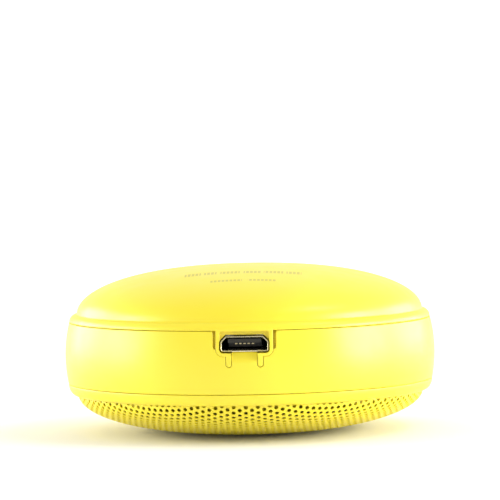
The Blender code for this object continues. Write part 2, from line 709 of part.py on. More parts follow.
def make_driver():
    """The loudspeaker, drawn with its own zero at the seat it rests on. It faces down."""
    hub = empty("driver", (0, 0, SEAT_TOP_Z))
    moving = empty("cone_axis", (0, 0, 0), parent=hub)

    flange_z = GASKET_THICKNESS + 2 * FIT
    land_outer = DRIVER_RADIUS - DRIVER_SEAT_WIDTH
    land_inner = land_outer - SURROUND_LAND
    roll_centre = land_inner - SURROUND_ROLL
    lip_outer = roll_centre - SURROUND_ROLL
    lip_inner = lip_outer - SURROUND_LAND
    cone_edge = lip_outer - FIT
    turned(
        "driver_gasket",
        [(land_outer + LOOSE_FIT, FIT), (DRIVER_RADIUS - FIT, FIT)]
        + [(DRIVER_RADIUS - FIT, FIT + GASKET_THICKNESS), (land_outer + LOOSE_FIT, FIT + GASKET_THICKNESS)],
        FOAM, parent=hub,
    )

    land_z = flange_z - FIT - SURROUND_THICKNESS
    lip_z = land_z - SURROUND_STEP
    roll = arc((roll_centre, lip_z), SURROUND_ROLL, 180, 360, SMALL_ARC_STEPS)
    surround_line = [(lip_inner, lip_z)] + roll + [(land_inner, land_z), (land_outer, land_z)]
    turned("surround", sheet(surround_line, SURROUND_THICKNESS), RUBBER, NARROW_SEGMENTS, hub)

    cone_z = lip_z + SURROUND_THICKNESS + FIT
    neck = COIL_RADIUS + FORMER_THICKNESS + FIT
    neck_z = cone_z + CONE_DEPTH
    cone_line = [(neck, neck_z), (cone_edge, cone_z)]
    turned("cone", sheet(cone_line, CONE_THICKNESS), PAPER, NARROW_SEGMENTS, moving)

    cap_edge = neck + CAP_OVERLAP
    cap_z = neck_z - CONE_DEPTH * CAP_OVERLAP / (cone_edge - neck) - FIT
    cap_line = arc((0.0, cap_z), (cap_edge, CAP_DEPTH), -90, -8, 4)
    turned("dust_cap", sheet(cap_line, CONE_THICKNESS), PAPER, NARROW_SEGMENTS, moving)

    shelf_z = neck_z + CONE_THICKNESS + SPIDER_STEP + SPIDER_WAVE_HEIGHT + 2 * LOOSE_FIT
    plate_z = shelf_z + SHELF_RISE
    shelf_outer = 2 * COIL_RADIUS
    shelf_inner = shelf_outer - SHELF_WIDTH
    former_bottom = neck_z - FIT
    pole_z = plate_z + FRAME_THICKNESS + FIT
    winding_z = pole_z + POLE_THICKNESS / 2
    former_top = winding_z + WINDING_HEIGHT / 2 + FIT
    turned(
        "voice_coil_former",
        ring(COIL_RADIUS, COIL_RADIUS + FORMER_THICKNESS, former_bottom, former_top),
        AMBER_CLOTH, NARROW_SEGMENTS, moving,
    )
    winding_inner = COIL_RADIUS + FORMER_THICKNESS + FIT / 2
    winding_outer = winding_inner + WINDING_THICKNESS
    turned(
        "voice_coil_winding",
        ring(winding_inner, winding_outer, winding_z - WINDING_HEIGHT / 2, winding_z + WINDING_HEIGHT / 2),
        COPPER, NARROW_SEGMENTS, moving,
    )

    gap_radius = winding_outer + LOOSE_FIT
    basket_line = [
        (DRIVER_RADIUS, flange_z),
        (land_inner + FIT, flange_z),
        (land_inner - FIT, flange_z + FRAME_THICKNESS),
        (shelf_outer, shelf_z),
        (shelf_inner, shelf_z),
        (shelf_inner - FIT, plate_z),
        (gap_radius + LOOSE_FIT, plate_z),
    ]
    basket = turned(
        "driver_frame", sheet(basket_line, -FRAME_THICKNESS), DARK_STEEL, NARROW_SEGMENTS, hub
    )
    window_z = (flange_z + FRAME_THICKNESS + LOOSE_FIT, shelf_z - LOOSE_FIT)
    for k in range(4):
        spoke = empty(f"window_{k + 1}", turn_deg=90 * k, parent=hub)
        low = (-WINDOW_WIDTH / 2, shelf_outer, window_z[0])
        high = (WINDOW_WIDTH / 2, DRIVER_RADIUS, window_z[1])
        combine(basket, "DIFFERENCE", as_tool(block(f"basket_window_{k + 1}", low, high, None, spoke)))

    spider_z = shelf_z - FIT - CLOTH_THICKNESS
    spider_line = wavy_line(neck, shelf_inner - LOOSE_FIT, shelf_outer - LOOSE_FIT, spider_z)
    turned("spider", sheet(spider_line, CLOTH_THICKNESS), AMBER_CLOTH, NARROW_SEGMENTS, hub)

    magnet_z = pole_z + POLE_THICKNESS + FIT
    floor_z = max(magnet_z + MAGNET_THICKNESS, former_top + CONE_TRAVEL) + FIT
    pole_radius = COIL_RADIUS - LOOSE_FIT
    yoke_outer = gap_radius + YOKE_WALL
    turned(
        "yoke_cup",
        [(0.0, floor_z), (gap_radius, floor_z), (gap_radius, pole_z), (yoke_outer, pole_z)]
        + [(yoke_outer, floor_z + YOKE_FLOOR), (0.0, floor_z + YOKE_FLOOR)],
        STEEL, NARROW_SEGMENTS, hub,
    )
    disc("pole_plate", pole_radius, pole_z, pole_z + POLE_THICKNESS, STEEL, hub)
    disc("driver_magnet", pole_radius - FIT, magnet_z, magnet_z + MAGNET_THICKNESS, MAGNET, hub)

    side = empty("terminal_side", turn_deg=TERMINAL_ANGLE - 90, parent=hub)
    strip_z = flange_z + FRAME_THICKNESS + FIT
    block(
        "driver_terminals",
        (-TERMINAL_SIZE[0] / 2, land_outer, strip_z),
        (TERMINAL_SIZE[0] / 2, land_outer + TERMINAL_SIZE[1], strip_z + TERMINAL_SIZE[2]),
        BOARD_GREEN, side,
    )


def ring(inner, outer, bottom, top):
    return [(inner, bottom), (outer, bottom), (outer, top), (inner, top)]


def disc(name, radius, bottom, top, material, parent):
    outline = [(0.0, bottom), (radius, bottom), (radius, top), (0.0, top)]
    return turned(name, outline, material, NARROW_SEGMENTS, parent)


def wavy_line(inner, end, outer, z):
    """A corrugated line that rises by SPIDER_STEP to z, where a flat land runs from end to outer."""
    steps = 4 * SPIDER_WAVES
    start = inner + SPIDER_LAND
    found = [(inner, z - SPIDER_STEP)]
    for k in range(steps + 1):
        share = k / steps
        height = SPIDER_WAVE_HEIGHT * math.sin(math.tau * SPIDER_WAVES * share)
        found.append((start + (end - start) * share, z - SPIDER_STEP * (1 - share) - height))
    return found + [(outer, z)]


# ---------------------------------------------------------------- screws


def driver_flange_top():
    return SEAT_TOP_Z + GASKET_THICKNESS + 2 * FIT + FRAME_THICKNESS


def driver_head_z():
    """The underside of a driver screw's head, which clamps the edge of the driver's flange."""
    return driver_flange_top() + FIT


def driver_boss_top():
    return driver_head_z() - FIT


def driver_screw_places():
    return on_circle(DRIVER_RADIUS + LOOSE_FIT + DRIVER_BOSS_RADIUS, DRIVER_SCREW_ANGLES)


def board_screw_places():
    return on_circle(BOARD_RADIUS - BOARD_SCREW_INSET, BOARD_SCREW_ANGLES)


def case_head_z():
    """The top of a case screw's head, which bears on the floor of its pocket from below."""
    return column_floor_z() + CASE_SCREW[2] + LOOSE_FIT


def make_screws(name, places, sizes, seat_z, upwards):
    """Pan-head screws at places. The head bears at seat_z; upwards says which way the shank points."""
    shank, head, head_height, length = sizes
    outline = [(0.0, -head_height), (head * SCREW_CROWN, -head_height), (head, -head_height / 2)]
    outline += [(head, 0.0), (shank, 0.0), (shank, length - shank), (shank / 2, length), (0.0, length)]
    for k, (x, y) in enumerate(places):
        screw = turned(f"{name}_{k + 1}", outline, STEEL, SCREW_SEGMENTS)
        screw.location = (x, y, seat_z)
        if not upwards:
            screw.rotation_euler = (math.pi, 0, 0)


# ---------------------------------------------------------------- board


def make_board():
    """The round circuit board and the parts on it."""
    outline = [(0.0, BOARD_Z), (BOARD_RADIUS, BOARD_Z), (BOARD_RADIUS, BOARD_TOP_Z), (0.0, BOARD_TOP_Z)]
    board = turned("main_board", outline, BOARD_GREEN)
    notches = columns(
        "board_notches", on_circle(CASE_SCREW_RADIUS, CASE_SCREW_ANGLES), CASE_BOSS_RADIUS + LOOSE_FIT,
        BOARD_Z - PAST, BOARD_TOP_Z + PAST,
    )
    holes = columns(
        "board_holes", board_screw_places(), BOARD_SCREW[0] + FIT,
        BOARD_Z - PAST, BOARD_TOP_Z + PAST, SCREW_SEGMENTS,
    )
    relief = block(
        "board_edge_relief",
        (-FRAME_WIDTH / 2, -BOARD_RADIUS - PAST, BOARD_Z - PAST),
        (FRAME_WIDTH / 2, -BOARD_RADIUS + PAST, BOARD_TOP_Z + PAST),
        None,
    )
    for tool in (notches, holes, as_tool(relief)):
        combine(board, "DIFFERENCE", tool)

    under = BOARD_Z - FIT
    on_top = BOARD_TOP_Z + FIT
    part_on_board("bluetooth_module", MODULE_SIZE, MODULE_PLACE, under, -1, DARK_STEEL)
    part_on_board("amplifier_chip", CHIP_SIZE, CHIP_PLACE, under, -1, BLACK_PLASTIC)
    part_on_board(
        "power_inductor", INDUCTOR_SIZE, INDUCTOR_PLACE, under, -1, BLACK_PLASTIC, INDUCTOR_ROUNDING
    )
    part_on_board("speaker_connector", CONNECTOR_SIZE, SPEAKER_CONNECTOR_PLACE, under, -1, WHITE_PLASTIC)
    part_on_board("battery_connector", CONNECTOR_SIZE, BATTERY_CONNECTOR_PLACE, on_top, 1, WHITE_PLASTIC)

    length, width, thickness = CELL_SIZE
    part_on_board(
        "battery_pad", (length - PAST, width - PAST, CELL_PAD_THICKNESS), (0.0, 0.0), on_top, 1, FOAM
    )
    part_on_board(
        "battery_cell", (length, width, thickness), (0.0, 0.0), on_top + CELL_PAD_THICKNESS + FIT, 1,
        CELL_FOIL, CELL_ROUNDING,
    )


def part_on_board(name, size, place, face_z, side, material, rounding=0.0):
    """A box-shaped part that stands on a face of the board; side is 1 above it and -1 below."""
    x, y = place
    far_z = face_z + side * size[2]
    low = (x - size[0] / 2, y - size[1] / 2, min(face_z, far_z))
    high = (x + size[0] / 2, y + size[1] / 2, max(face_z, far_z))
    return block(name, low, high, material, rounding=rounding)


def smooth_route(points, per_span=3):
    """Points on a smooth curve through the given ones."""
    ends = [points[0]] + points + [points[-1]]
    found = []
    for k in range(1, len(ends) - 2):
        a, b, c, d = (Vector(p) for p in ends[k - 1 : k + 3])
        for step in range(per_span):
            t = step / per_span
            bend = 2 * b + (c - a) * t + (2 * a - 5 * b + 4 * c - d) * t**2 + (3 * b - a - 3 * c + d) * t**3
            found.append(bend / 2)
    return found + [Vector(points[-1])]


def lead(name, points, material):
    """An insulated wire along a smooth curve through points."""
    curve = bpy.data.curves.new(name, "CURVE")
    curve.dimensions = "3D"
    curve.bevel_depth = LEAD_RADIUS
    curve.bevel_resolution = 2
    curve.use_fill_caps = True
    route = smooth_route(points)
    spline = curve.splines.new("POLY")
    spline.points.add(len(route) - 1)
    for point, place in zip(spline.points, route):
        point.co = (*place, 1.0)
    curve.materials.append(material)
    obj = bpy.data.objects.new(name, curve)
    bpy.context.scene.collection.objects.link(obj)


def make_leads():
    """The two pairs of wires, each from its part to its connector on the board."""
    turn = math.radians(TERMINAL_ANGLE)
    outward = Vector((math.cos(turn), math.sin(turn), 0))
    along = Vector((-outward.y, outward.x, 0))
    face = outward * (DRIVER_RADIUS - DRIVER_SEAT_WIDTH + TERMINAL_SIZE[1] + LEAD_RADIUS + FIT)
    terminal_z = driver_flange_top() + FIT + TERMINAL_SIZE[2] / 2
    socket_x, socket_y = SPEAKER_CONNECTOR_PLACE
    socket_z = BOARD_Z - FIT - CONNECTOR_SIZE[2] / 2
    plug_y = socket_y + CONNECTOR_SIZE[1] / 2 + FIT
    for name, material, side in (("red", RED_LEAD, -LEAD_PITCH / 2), ("black", BLACK_LEAD, LEAD_PITCH / 2)):
        start = face - along * side + Vector((0, 0, terminal_z))
        rise = start + Vector((0, 0, 2 * LEAD_RUN))
        end = Vector((socket_x + side, plug_y, socket_z))
        arrive = end + Vector((0, LEAD_RUN, 0))
        lead(f"speaker_lead_{name}", [start, rise, (rise + arrive) / 2, arrive, end], material)

    socket_x, socket_y = BATTERY_CONNECTOR_PLACE
    socket_z = BOARD_TOP_Z + FIT + CONNECTOR_SIZE[2] / 2
    cell_z = BOARD_TOP_Z + 2 * FIT + CELL_PAD_THICKNESS + CELL_SIZE[2] / 2
    cell_y = -CELL_SIZE[1] / 2 - LOOSE_FIT
    for name, material, side in (("red", RED_LEAD, -LEAD_PITCH / 2), ("black", BLACK_LEAD, LEAD_PITCH / 2)):
        start = Vector((CELL_TAB_X + side, cell_y, cell_z))
        out = start - Vector((0, LEAD_PITCH + side / 2, 0))
        end = Vector((socket_x + CONNECTOR_SIZE[0] / 2 + FIT, socket_y - side, socket_z))
        arrive = end + Vector((LEAD_PITCH, 0, 0))
        lead(f"battery_lead_{name}", [start, out, arrive, end], material)


# ---------------------------------------------------------------- buttons and light


def button_turns():
    """(name, turn about Z in degrees) for each button. A turn of 0 faces +Y."""
    return [(name, -BUTTON_STEP_DEG * (k - 1)) for k, name in enumerate(BUTTON_NAMES)]


def flange_inner_y():
    """The inner face of a button's flange, which keeps its travel and a gap clear of the wall."""
    return WALL_OUTER_RADIUS + BUTTON_TRAVEL + LOOSE_FIT


def flange_outer_y():
    return flange_inner_y() + BUTTON_FLANGE_THICKNESS


def make_buttons():
    """Each button slides in towards the middle. Its empty stands on the line that it slides along."""
    envelope = band_line(0.0, TOP_Z, steps=ENVELOPE_STEPS)
    face = as_tool(turned("button_face", [(0.0, 0.0)] + envelope + [(0.0, TOP_Z)], None))
    stem_half, stem_tall = (s / 2 for s in STEM_SIZE)
    plunger_half, plunger_tall = (s / 2 for s in PLUNGER_SIZE)
    body_half = SWITCH_SIZE[0] / 2
    body_front = math.sqrt(WALL_INNER_RADIUS**2 - body_half**2) - FIT
    plunger_end = body_front + PLUNGER_REACH
    for name, turn in button_turns():
        hub = empty(f"{name}_axis", (0, 0, BUTTON_Z), turn)
        inner, outer = flange_inner_y(), flange_outer_y()
        cap = slab(f"{name}_button", pill(*BUTTON_SIZE), outer - FIT, BODY_RADIUS + PAST, SATIN_YELLOW, hub)
        combine(cap, "INTERSECT", face)
        flange_size = [s + 2 * BUTTON_FLANGE for s in BUTTON_SIZE]
        flange = slab(f"{name}_flange", pill(*flange_size), inner, outer, None, hub)
        stem_z = PLUNGER_Z - BUTTON_Z
        stem = block(
            f"{name}_stem",
            (-stem_half, plunger_end + FIT / 2, stem_z - stem_tall),
            (stem_half, outer - FIT, stem_z + stem_tall),
            None,
            hub,
        )
        combine(cap, "UNION", as_tool(flange))
        combine(cap, "UNION", as_tool(stem))

        depth = BUTTON_TRAVEL + LOOSE_FIT
        low = (-plunger_half, body_front - PAST, stem_z - plunger_tall)
        high = (plunger_half, plunger_end, stem_z + plunger_tall)
        block(f"{name}_plunger", low, high, BLACK_PLASTIC, hub)

        switch_top = BOARD_Z - FIT - BUTTON_Z
        body = block(
            f"{name}_switch",
            (-body_half, body_front - SWITCH_SIZE[1], switch_top - SWITCH_SIZE[2]),
            (body_half, body_front, switch_top),
            STEEL,
            hub,
        )
        bore = block(
            f"{name}_switch_bore",
            (low[0] - FIT, low[1] - depth, low[2] - FIT),
            (high[0] + FIT, body_front + PAST, high[2] + FIT),
            None,
            hub,
        )
        combine(body, "DIFFERENCE", as_tool(bore))


def light_z():
    return UPPER_SEAM_Z - LIGHT_PIPE_DROP


def light_hole(name):
    """A cutter for the hole that the light pipe passes through."""
    hub = empty(f"{name}_turn", turn_deg=LIGHT_ANGLE - 90)
    radius = LIGHT_PIPE_RADIUS + FIT
    tool = cylinder_along_y(
        name, radius, light_z(), WALL_INNER_RADIUS - PAST, BODY_RADIUS + PAST, None, hub
    )
    return as_tool(tool)


def make_status_light():
    """A side-facing LED under the board's edge and the clear pipe that carries its light to the band."""
    hub = empty("light_turn", turn_deg=LIGHT_ANGLE - 90)
    led_front = WALL_INNER_RADIUS - 2 * LOOSE_FIT - FIT
    top = BOARD_Z - FIT
    half = LED_SIZE[0] / 2
    block(
        "status_led",
        (-half, led_front - LED_SIZE[1], top - LED_SIZE[2]),
        (half, led_front, top),
        WHITE_PLASTIC,
        hub,
    )
    end = band_radius(light_z()) - FIT
    cylinder_along_y("light_pipe", LIGHT_PIPE_RADIUS, light_z(), led_front + FIT, end, CLEAR, hub)


def main():
    make_rear_shell()
    make_side_band()
    make_front_housing()
    make_grille()
    make_driver()
    make_board()
    make_socket()
    make_buttons()
    make_status_light()
    make_leads()
    case_places = on_circle(CASE_SCREW_RADIUS, CASE_SCREW_ANGLES)
    make_screws("case_screw", case_places, CASE_SCREW, case_head_z(), upwards=True)
    make_screws("driver_screw", driver_screw_places(), DRIVER_SCREW, driver_head_z(), upwards=False)
    make_screws("board_screw", board_screw_places(), BOARD_SCREW, BOARD_Z - FIT, upwards=True)


main()
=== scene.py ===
"""The looks of a round yellow wireless speaker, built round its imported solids.

Lengths are in metres and MM turns millimetres into them. The speaker lies grille down on the floor at
z = 0, with its charging socket towards -Y and its buttons towards +Y. Every height and radius that the
solids already settle is read from the frame; the values below only add what the solids leave out.
"""

import math
import bmesh
import bpy
from mathutils import Matrix, Vector


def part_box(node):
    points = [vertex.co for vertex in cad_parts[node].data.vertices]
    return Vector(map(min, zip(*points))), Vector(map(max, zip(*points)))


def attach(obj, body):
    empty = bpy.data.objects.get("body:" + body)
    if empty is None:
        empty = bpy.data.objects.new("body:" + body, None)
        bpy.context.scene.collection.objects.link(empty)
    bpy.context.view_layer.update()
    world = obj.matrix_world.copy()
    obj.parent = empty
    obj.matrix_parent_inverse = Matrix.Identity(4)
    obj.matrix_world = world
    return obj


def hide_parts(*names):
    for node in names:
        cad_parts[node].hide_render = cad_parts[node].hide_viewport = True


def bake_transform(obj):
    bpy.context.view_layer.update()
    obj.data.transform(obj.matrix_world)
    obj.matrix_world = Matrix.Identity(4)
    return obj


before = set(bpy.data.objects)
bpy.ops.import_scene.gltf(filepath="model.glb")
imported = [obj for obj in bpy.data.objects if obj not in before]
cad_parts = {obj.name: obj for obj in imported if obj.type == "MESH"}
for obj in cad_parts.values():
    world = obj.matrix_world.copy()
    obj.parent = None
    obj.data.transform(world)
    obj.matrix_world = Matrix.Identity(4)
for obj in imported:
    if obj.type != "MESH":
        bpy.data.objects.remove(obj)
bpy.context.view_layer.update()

MM = 0.001

# ---------------------------------------------------------------- sizes from the frame

FIT = 0.15 * MM
SHELL_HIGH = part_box("rear_shell")[1]
BAND_LOW, BAND_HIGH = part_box("side_band")
HOUSING_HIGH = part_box("front_housing")[1]
GRILLE_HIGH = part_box("grille")[1]
SOCKET_LOW, SOCKET_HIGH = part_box("usb_shell")
POWER_LOW, POWER_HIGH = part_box("power_button")
PLUNGER_LOW, PLUNGER_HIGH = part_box("power_plunger")
PIPE_LOW, PIPE_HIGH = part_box("light_pipe")
CASE_SCREW_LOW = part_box("case_screw_1")[0]
DRIVER_SCREW_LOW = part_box("driver_screw_1")[0]
BOARD_LOW, BOARD_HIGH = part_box("main_board")
CLOTH_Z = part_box("grille_cloth")[0].z
COIL_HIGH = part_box("voice_coil_former")[1]

LOWER_SEAM_Z = BAND_LOW.z - FIT
UPPER_SEAM_Z = BAND_HIGH.z + FIT
TOP_Z = SHELL_HIGH.z
BODY_RADIUS = BAND_HIGH.x
UPPER_SEAM_RADIUS = SHELL_HIGH.x
LOWER_SEAM_RADIUS = HOUSING_HIGH.x
GRILLE_RADIUS = GRILLE_HIGH.x
LIP_Z = GRILLE_HIGH.z - 0.55 * MM
BUTTON_Z = (POWER_LOW.z + POWER_HIGH.z) / 2
PLUNGER_Z = (PLUNGER_LOW.z + PLUNGER_HIGH.z) / 2
PIPE_Z = (PIPE_LOW.z + PIPE_HIGH.z) / 2

# ---------------------------------------------------------------- sizes the solids leave out

ROUND_STEPS = 256
BEZEL_EDGE_RADIUS = GRILLE_RADIUS + 0.3 * MM
CREASE_RADIUS = UPPER_SEAM_RADIUS - 1.22 * MM
CREASE_Z = UPPER_SEAM_Z + 1.2 * MM
CREASE_FILLET = 0.2 * MM
DOME_POWER, DOME_ROOT = 2.38, 1.976
REST_FLAT_RADIUS = 5.5 * MM
WALL = 1.5 * MM
REAR_INNER = UPPER_SEAM_RADIUS - 1.8 * MM
BAND_INNER = BODY_RADIUS - 2.4 * MM
WALL_OUTER = BAND_INNER - 0.3 * MM
WALL_INNER = WALL_OUTER - 1.3 * MM
WALL_TOP = BOARD_LOW.z - 0.3 * MM
LIP_TOP = UPPER_SEAM_Z - 0.15 * MM
SEAT_OUTER, SEAT_INNER = 22.65 * MM, 17.6 * MM
BAFFLE_FLOOR = 3.82 * MM
SEAT_TOP = BAFFLE_FLOOR + 1.2 * MM
SEAM = 0.08 * MM
SEAM_EDGE = 0.11 * MM

FRAME_WIDTH = 8.9 * MM
FRAME_WALL = 0.6 * MM
FRAME_DROP = 3.95 * MM
FRAME_CORNER = 1.0 * MM
FRAME_EDGE = 0.09 * MM
GAP_DEPTH = 1.0 * MM
RAMP_RISE, RAMP_DEPTH = 2.0 * MM, 2.0 * MM
LEG_SPACING = 4.9 * MM
LEG_WIDTH = 0.82 * MM
LEG_DROP = 5.6 * MM
SIDE_GAP = 0.45 * MM
SIDE_GAP_DROP = 2.8 * MM
NOTCH_CORNER = 0.4 * MM
LEDGE_Z = UPPER_SEAM_Z - FRAME_DROP + 0.6 * MM
HAIR_GAP = 0.03 * MM
LEG_GAP = 0.08 * MM
MOUTH_GAP = 0.2 * MM
RECESS_Y = SOCKET_LOW.y + 0.75 * MM

BUTTON_SIZE = (7.0 * MM, 3.6 * MM)
BUTTONS = {"volume_down": 20, "power": 0, "volume_up": -20}
DISH_DEPTH = 0.5 * MM
MARK_DEPTH = 0.22 * MM
PIPE_RADIUS = 0.75 * MM
PIPE_TURN = 146

HOLE_PITCH = 1.06 * MM
HOLE_COLUMN = 1.0 * MM
HOLE_RADIUS = 0.34 * MM
PLAIN_SPOT = 5.3 * MM
GRILLE_SHEET = 0.2 * MM
CLOTH = 0.25 * MM

CASE_BOSS, CASE_COLUMN, CASE_BORE, CASE_HOLE, CASE_HEAD = (r * MM for r in (2.3, 2.5, 1.0, 1.1, 2.0))
BOARD_POST, BOARD_BORE = 1.8 * MM, 0.75 * MM
DRIVER_BOSS, DRIVER_BORE = 1.35 * MM, 0.85 * MM
COLUMN_RISE, COLUMN_DROP = 1.2 * MM, 0.9 * MM
CASE_HEAD_HEIGHT, DRIVER_SHANK = 1.1 * MM, 2.2 * MM
CASE_BORE_DEPTH, BOARD_BORE_DEPTH = 5.2 * MM, 3.1 * MM
PLUNGER_SLOT = (1.5 * MM, 0.9 * MM)
SURROUND_SHEET, SURROUND_LAND, SURROUND_ROLL = 0.3 * MM, 1.0 * MM, 1.25 * MM
SPIDER_DROP, SPIDER_WAVE, SPIDER_LAND = 0.5 * MM, 0.2 * MM, 1.9 * MM
GASKET_WIDTH = 1.95 * MM
PAST = 1.0 * MM
FRONT = -BODY_RADIUS - PAST
INSIDE = -25 * MM


# ---------------------------------------------------------------- outlines


def arc(centre, radii, start, end, steps):
    """(r, z) points on an elliptical arc between two angles in degrees, both ends included."""
    turns = [math.radians(start + (end - start) * k / steps) for k in range(steps + 1)]
    return [(centre[0] + radii[0] * math.cos(a), centre[1] + radii[1] * math.sin(a)) for a in turns]


def rounded(corners, grow=0.0, steps=6):
    """A closed outline through (x, z, radius) corners, anticlockwise, each one rounded, then grown."""
    found = []
    count = len(corners)
    for k, (x, z, radius) in enumerate(corners):
        here = Vector((x, z))
        arriving = (here - Vector(corners[k - 1][:2])).normalized()
        leaving = (Vector(corners[(k + 1) % count][:2]) - here).normalized()
        out, out_next = Vector((arriving.y, -arriving.x)), Vector((leaving.y, -leaving.x))
        corner = here + (out + out_next) * grow / (1 + out.dot(out_next))
        if radius == 0.0:
            found.append(tuple(corner))
            continue
        turn = math.atan2(arriving.cross(leaving), arriving.dot(leaving))
        side = math.copysign(1.0, turn)
        bend = max(radius + side * grow, 0.01 * MM)
        start = corner - arriving * bend * math.tan(abs(turn) / 2)
        spoke = out * bend * side
        for step in range(steps + 1):
            found.append(tuple(start - spoke + Matrix.Rotation(turn * step / steps, 2) @ spoke))
    return found


def pill(width, height, grow=0.0, z=0.0):
    """A slot shape with half-round ends."""
    x, y, radius = width / 2, height / 2, height / 2 - 0.02 * MM
    corners = [(-x, z - y, radius), (x, z - y, radius), (x, z + y, radius), (-x, z + y, radius)]
    return rounded(corners, grow, 10)


def band_radius(z):
    """The band's barrel: both seams fall on one parabola about the widest circle."""
    upper, lower = BODY_RADIUS - UPPER_SEAM_RADIUS, BODY_RADIUS - LOWER_SEAM_RADIUS
    share = math.sqrt(upper / lower)
    widest = (UPPER_SEAM_Z + share * LOWER_SEAM_Z) / (1 + share)
    return BODY_RADIUS - upper * ((z - widest) / (UPPER_SEAM_Z - widest)) ** 2


def dome_line(inset=0.0, steps=44):
    """The rear dome from its top to the crease, on a superellipse."""
    radius, height = CREASE_RADIUS - inset, TOP_Z - CREASE_Z - inset
    found = []
    for k in range(steps):
        share = math.sin(math.pi / 2 * k / steps)
        rise = (1 - share**DOME_POWER) ** (1 / DOME_ROOT)
        found.append((radius * share, CREASE_Z + height * rise))
    return found


def grille_line(steps=64):
    """(distance along the sheet, radius, height) from the grille's centre up to its rim."""
    reach, height = GRILLE_RADIUS - REST_FLAT_RADIUS, LIP_Z
    curve = arc((REST_FLAT_RADIUS, height), (reach, height), -90, 0, steps)
    points = [(0.0, 0.0)] + curve + [(GRILLE_RADIUS, GRILLE_HIGH.z)]
    found, travelled = [(0.0, *points[0])], 0.0
    for before, here in zip(points, points[1:]):
        travelled += math.dist(before, here)
        found.append((travelled, *here))
    return found


def along(line, distance):
    """(radius, height) at a distance along a line of (distance, radius, height)."""
    for before, here in zip(line, line[1:]):
        if distance <= here[0]:
            share = (distance - before[0]) / (here[0] - before[0])
            return tuple(a + (b - a) * share for a, b in zip(before[1:], here[1:]))
    return line[-1][1:]


# ---------------------------------------------------------------- meshes


def finished(bm, name, material, body="casing", replaces=(), flat_angle=32):
    """Turns a bmesh into a piece that rides on a body and stands for CAD nodes."""
    mesh = bpy.data.meshes.new(name)
    bm.to_mesh(mesh)
    bm.free()
    mesh.shade_smooth()
    mesh.set_sharp_from_angle(angle=math.radians(flat_angle))
    piece = bpy.data.objects.new(name, mesh)
    bpy.context.scene.collection.objects.link(piece)
    if material:
        mesh.materials.append(material)
        if body:
            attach(piece, body)
        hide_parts(*replaces)
    return piece


def lathe(outline, steps=ROUND_STEPS):
    """Spins an outline of (radius, height) points round Z. It closes on itself, or on the axis."""
    bm = bmesh.new()
    verts = [bm.verts.new((r, 0, z)) for r, z in outline]
    on_axis = outline[0][0] < 1e-7 and outline[-1][0] < 1e-7
    ends = verts[1:] if on_axis else verts[1:] + verts[:1]
    edges = [bm.edges.new(pair) for pair in zip(verts, ends)]
    bmesh.ops.spin(bm, geom=verts + edges, axis=(0, 0, 1), angle=math.tau, steps=steps, use_merge=True)
    bmesh.ops.remove_doubles(bm, verts=bm.verts, dist=1e-7)
    bmesh.ops.recalc_face_normals(bm, faces=bm.faces)
    return bm


def dense_pill(width, height, grow, z, parts=40):
    """A long slot shape whose straight sides are cut up, so that it can follow a curved face."""
    x, radius = (width - height) / 2, height / 2 + grow
    found = []
    for side in (1, -1):
        turns = [math.radians(-90 + 180 * k / 12) for k in range(13)]
        found += [(side * (x + radius * math.cos(a)), z + side * radius * math.sin(a)) for a in turns]
        found += [(side * (x - 2 * x * k / parts), z + side * radius) for k in range(1, parts)]
    return found


def on_band(outline, depth, turn_deg=0.0):
    """Places (x, z) points on the band, seen from its front, at a depth below its surface."""
    turn = Matrix.Rotation(math.radians(turn_deg), 3, "Z")
    return [turn @ Vector((x, depth - math.sqrt(band_radius(z) ** 2 - x**2), z)) for x, z in outline]


def pocket(outline_at, edge, floor_y, turn_deg=0.0, flare=True, sink=0.0):
    """A cutter that widens at the band's surface, or with flare off a plug that narrows there.

    outline_at(grow) gives the outline, floor_y is the flat end, and sink is how far the surface that the
    cutter meets lies below the band's own.
    """
    side = 1 if flare else -1
    turn = Matrix.Rotation(math.radians(turn_deg), 3, "Z")
    rings = [[turn @ Vector((x, -BODY_RADIUS - 4 * MM, z)) for x, z in outline_at(side * edge)]]
    for k in range(6):
        a = math.radians(90 * k / 5)
        grow, sunk = side * edge * (1 - math.sin(a)), sink + edge * (1 - math.cos(a))
        rings.append(on_band(outline_at(grow), sunk, turn_deg))
    rings.append([turn @ Vector((x, floor_y, z)) for x, z in outline_at(0.0)])
    return lofted(rings)


def lofted(rings):
    """A solid through rings of points, drawn out ring by ring from a flat cap."""
    bm = bmesh.new()
    cap = bm.faces.new([bm.verts.new(p) for p in rings[0]])
    order = {v: k for k, v in enumerate(cap.verts)}
    for ring in rings[1:]:
        spots = {v.co.to_tuple(): k for v, k in order.items()}
        grown = bmesh.ops.extrude_face_region(bm, geom=[cap])["geom"]
        if ring is not rings[1]:
            bmesh.ops.delete(bm, geom=[cap], context="FACES_ONLY")
        cap = next(part for part in grown if isinstance(part, bmesh.types.BMFace))
        order = {v: spots[v.co.to_tuple()] for v in cap.verts}
        for v, k in order.items():
            v.co = ring[k]
    bmesh.ops.recalc_face_normals(bm, faces=bm.faces)
    return bm


def prism(outline, start, end, turn_deg=0.0):
    """A straight bar: an (x, z) outline carried along Y from start to end, then turned about Z."""
    turn = Matrix.Rotation(math.radians(turn_deg), 3, "Z")
    return lofted([[turn @ Vector((x, y, z)) for x, z in outline] for y in (start, end)])


def disc_outline(radius, z, grow=0.0, steps=32):
    turns = [math.tau * k / steps for k in range(steps)]
    return [((radius + grow) * math.cos(a), z + (radius + grow) * math.sin(a)) for a in turns]


def box_outline(low_x, high_x, low_z, high_z, radius, grow=0.0):
    corners = ((low_x, low_z), (high_x, low_z), (high_x, high_z), (low_x, high_z))
    return rounded([(x, z, radius) for x, z in corners], grow)


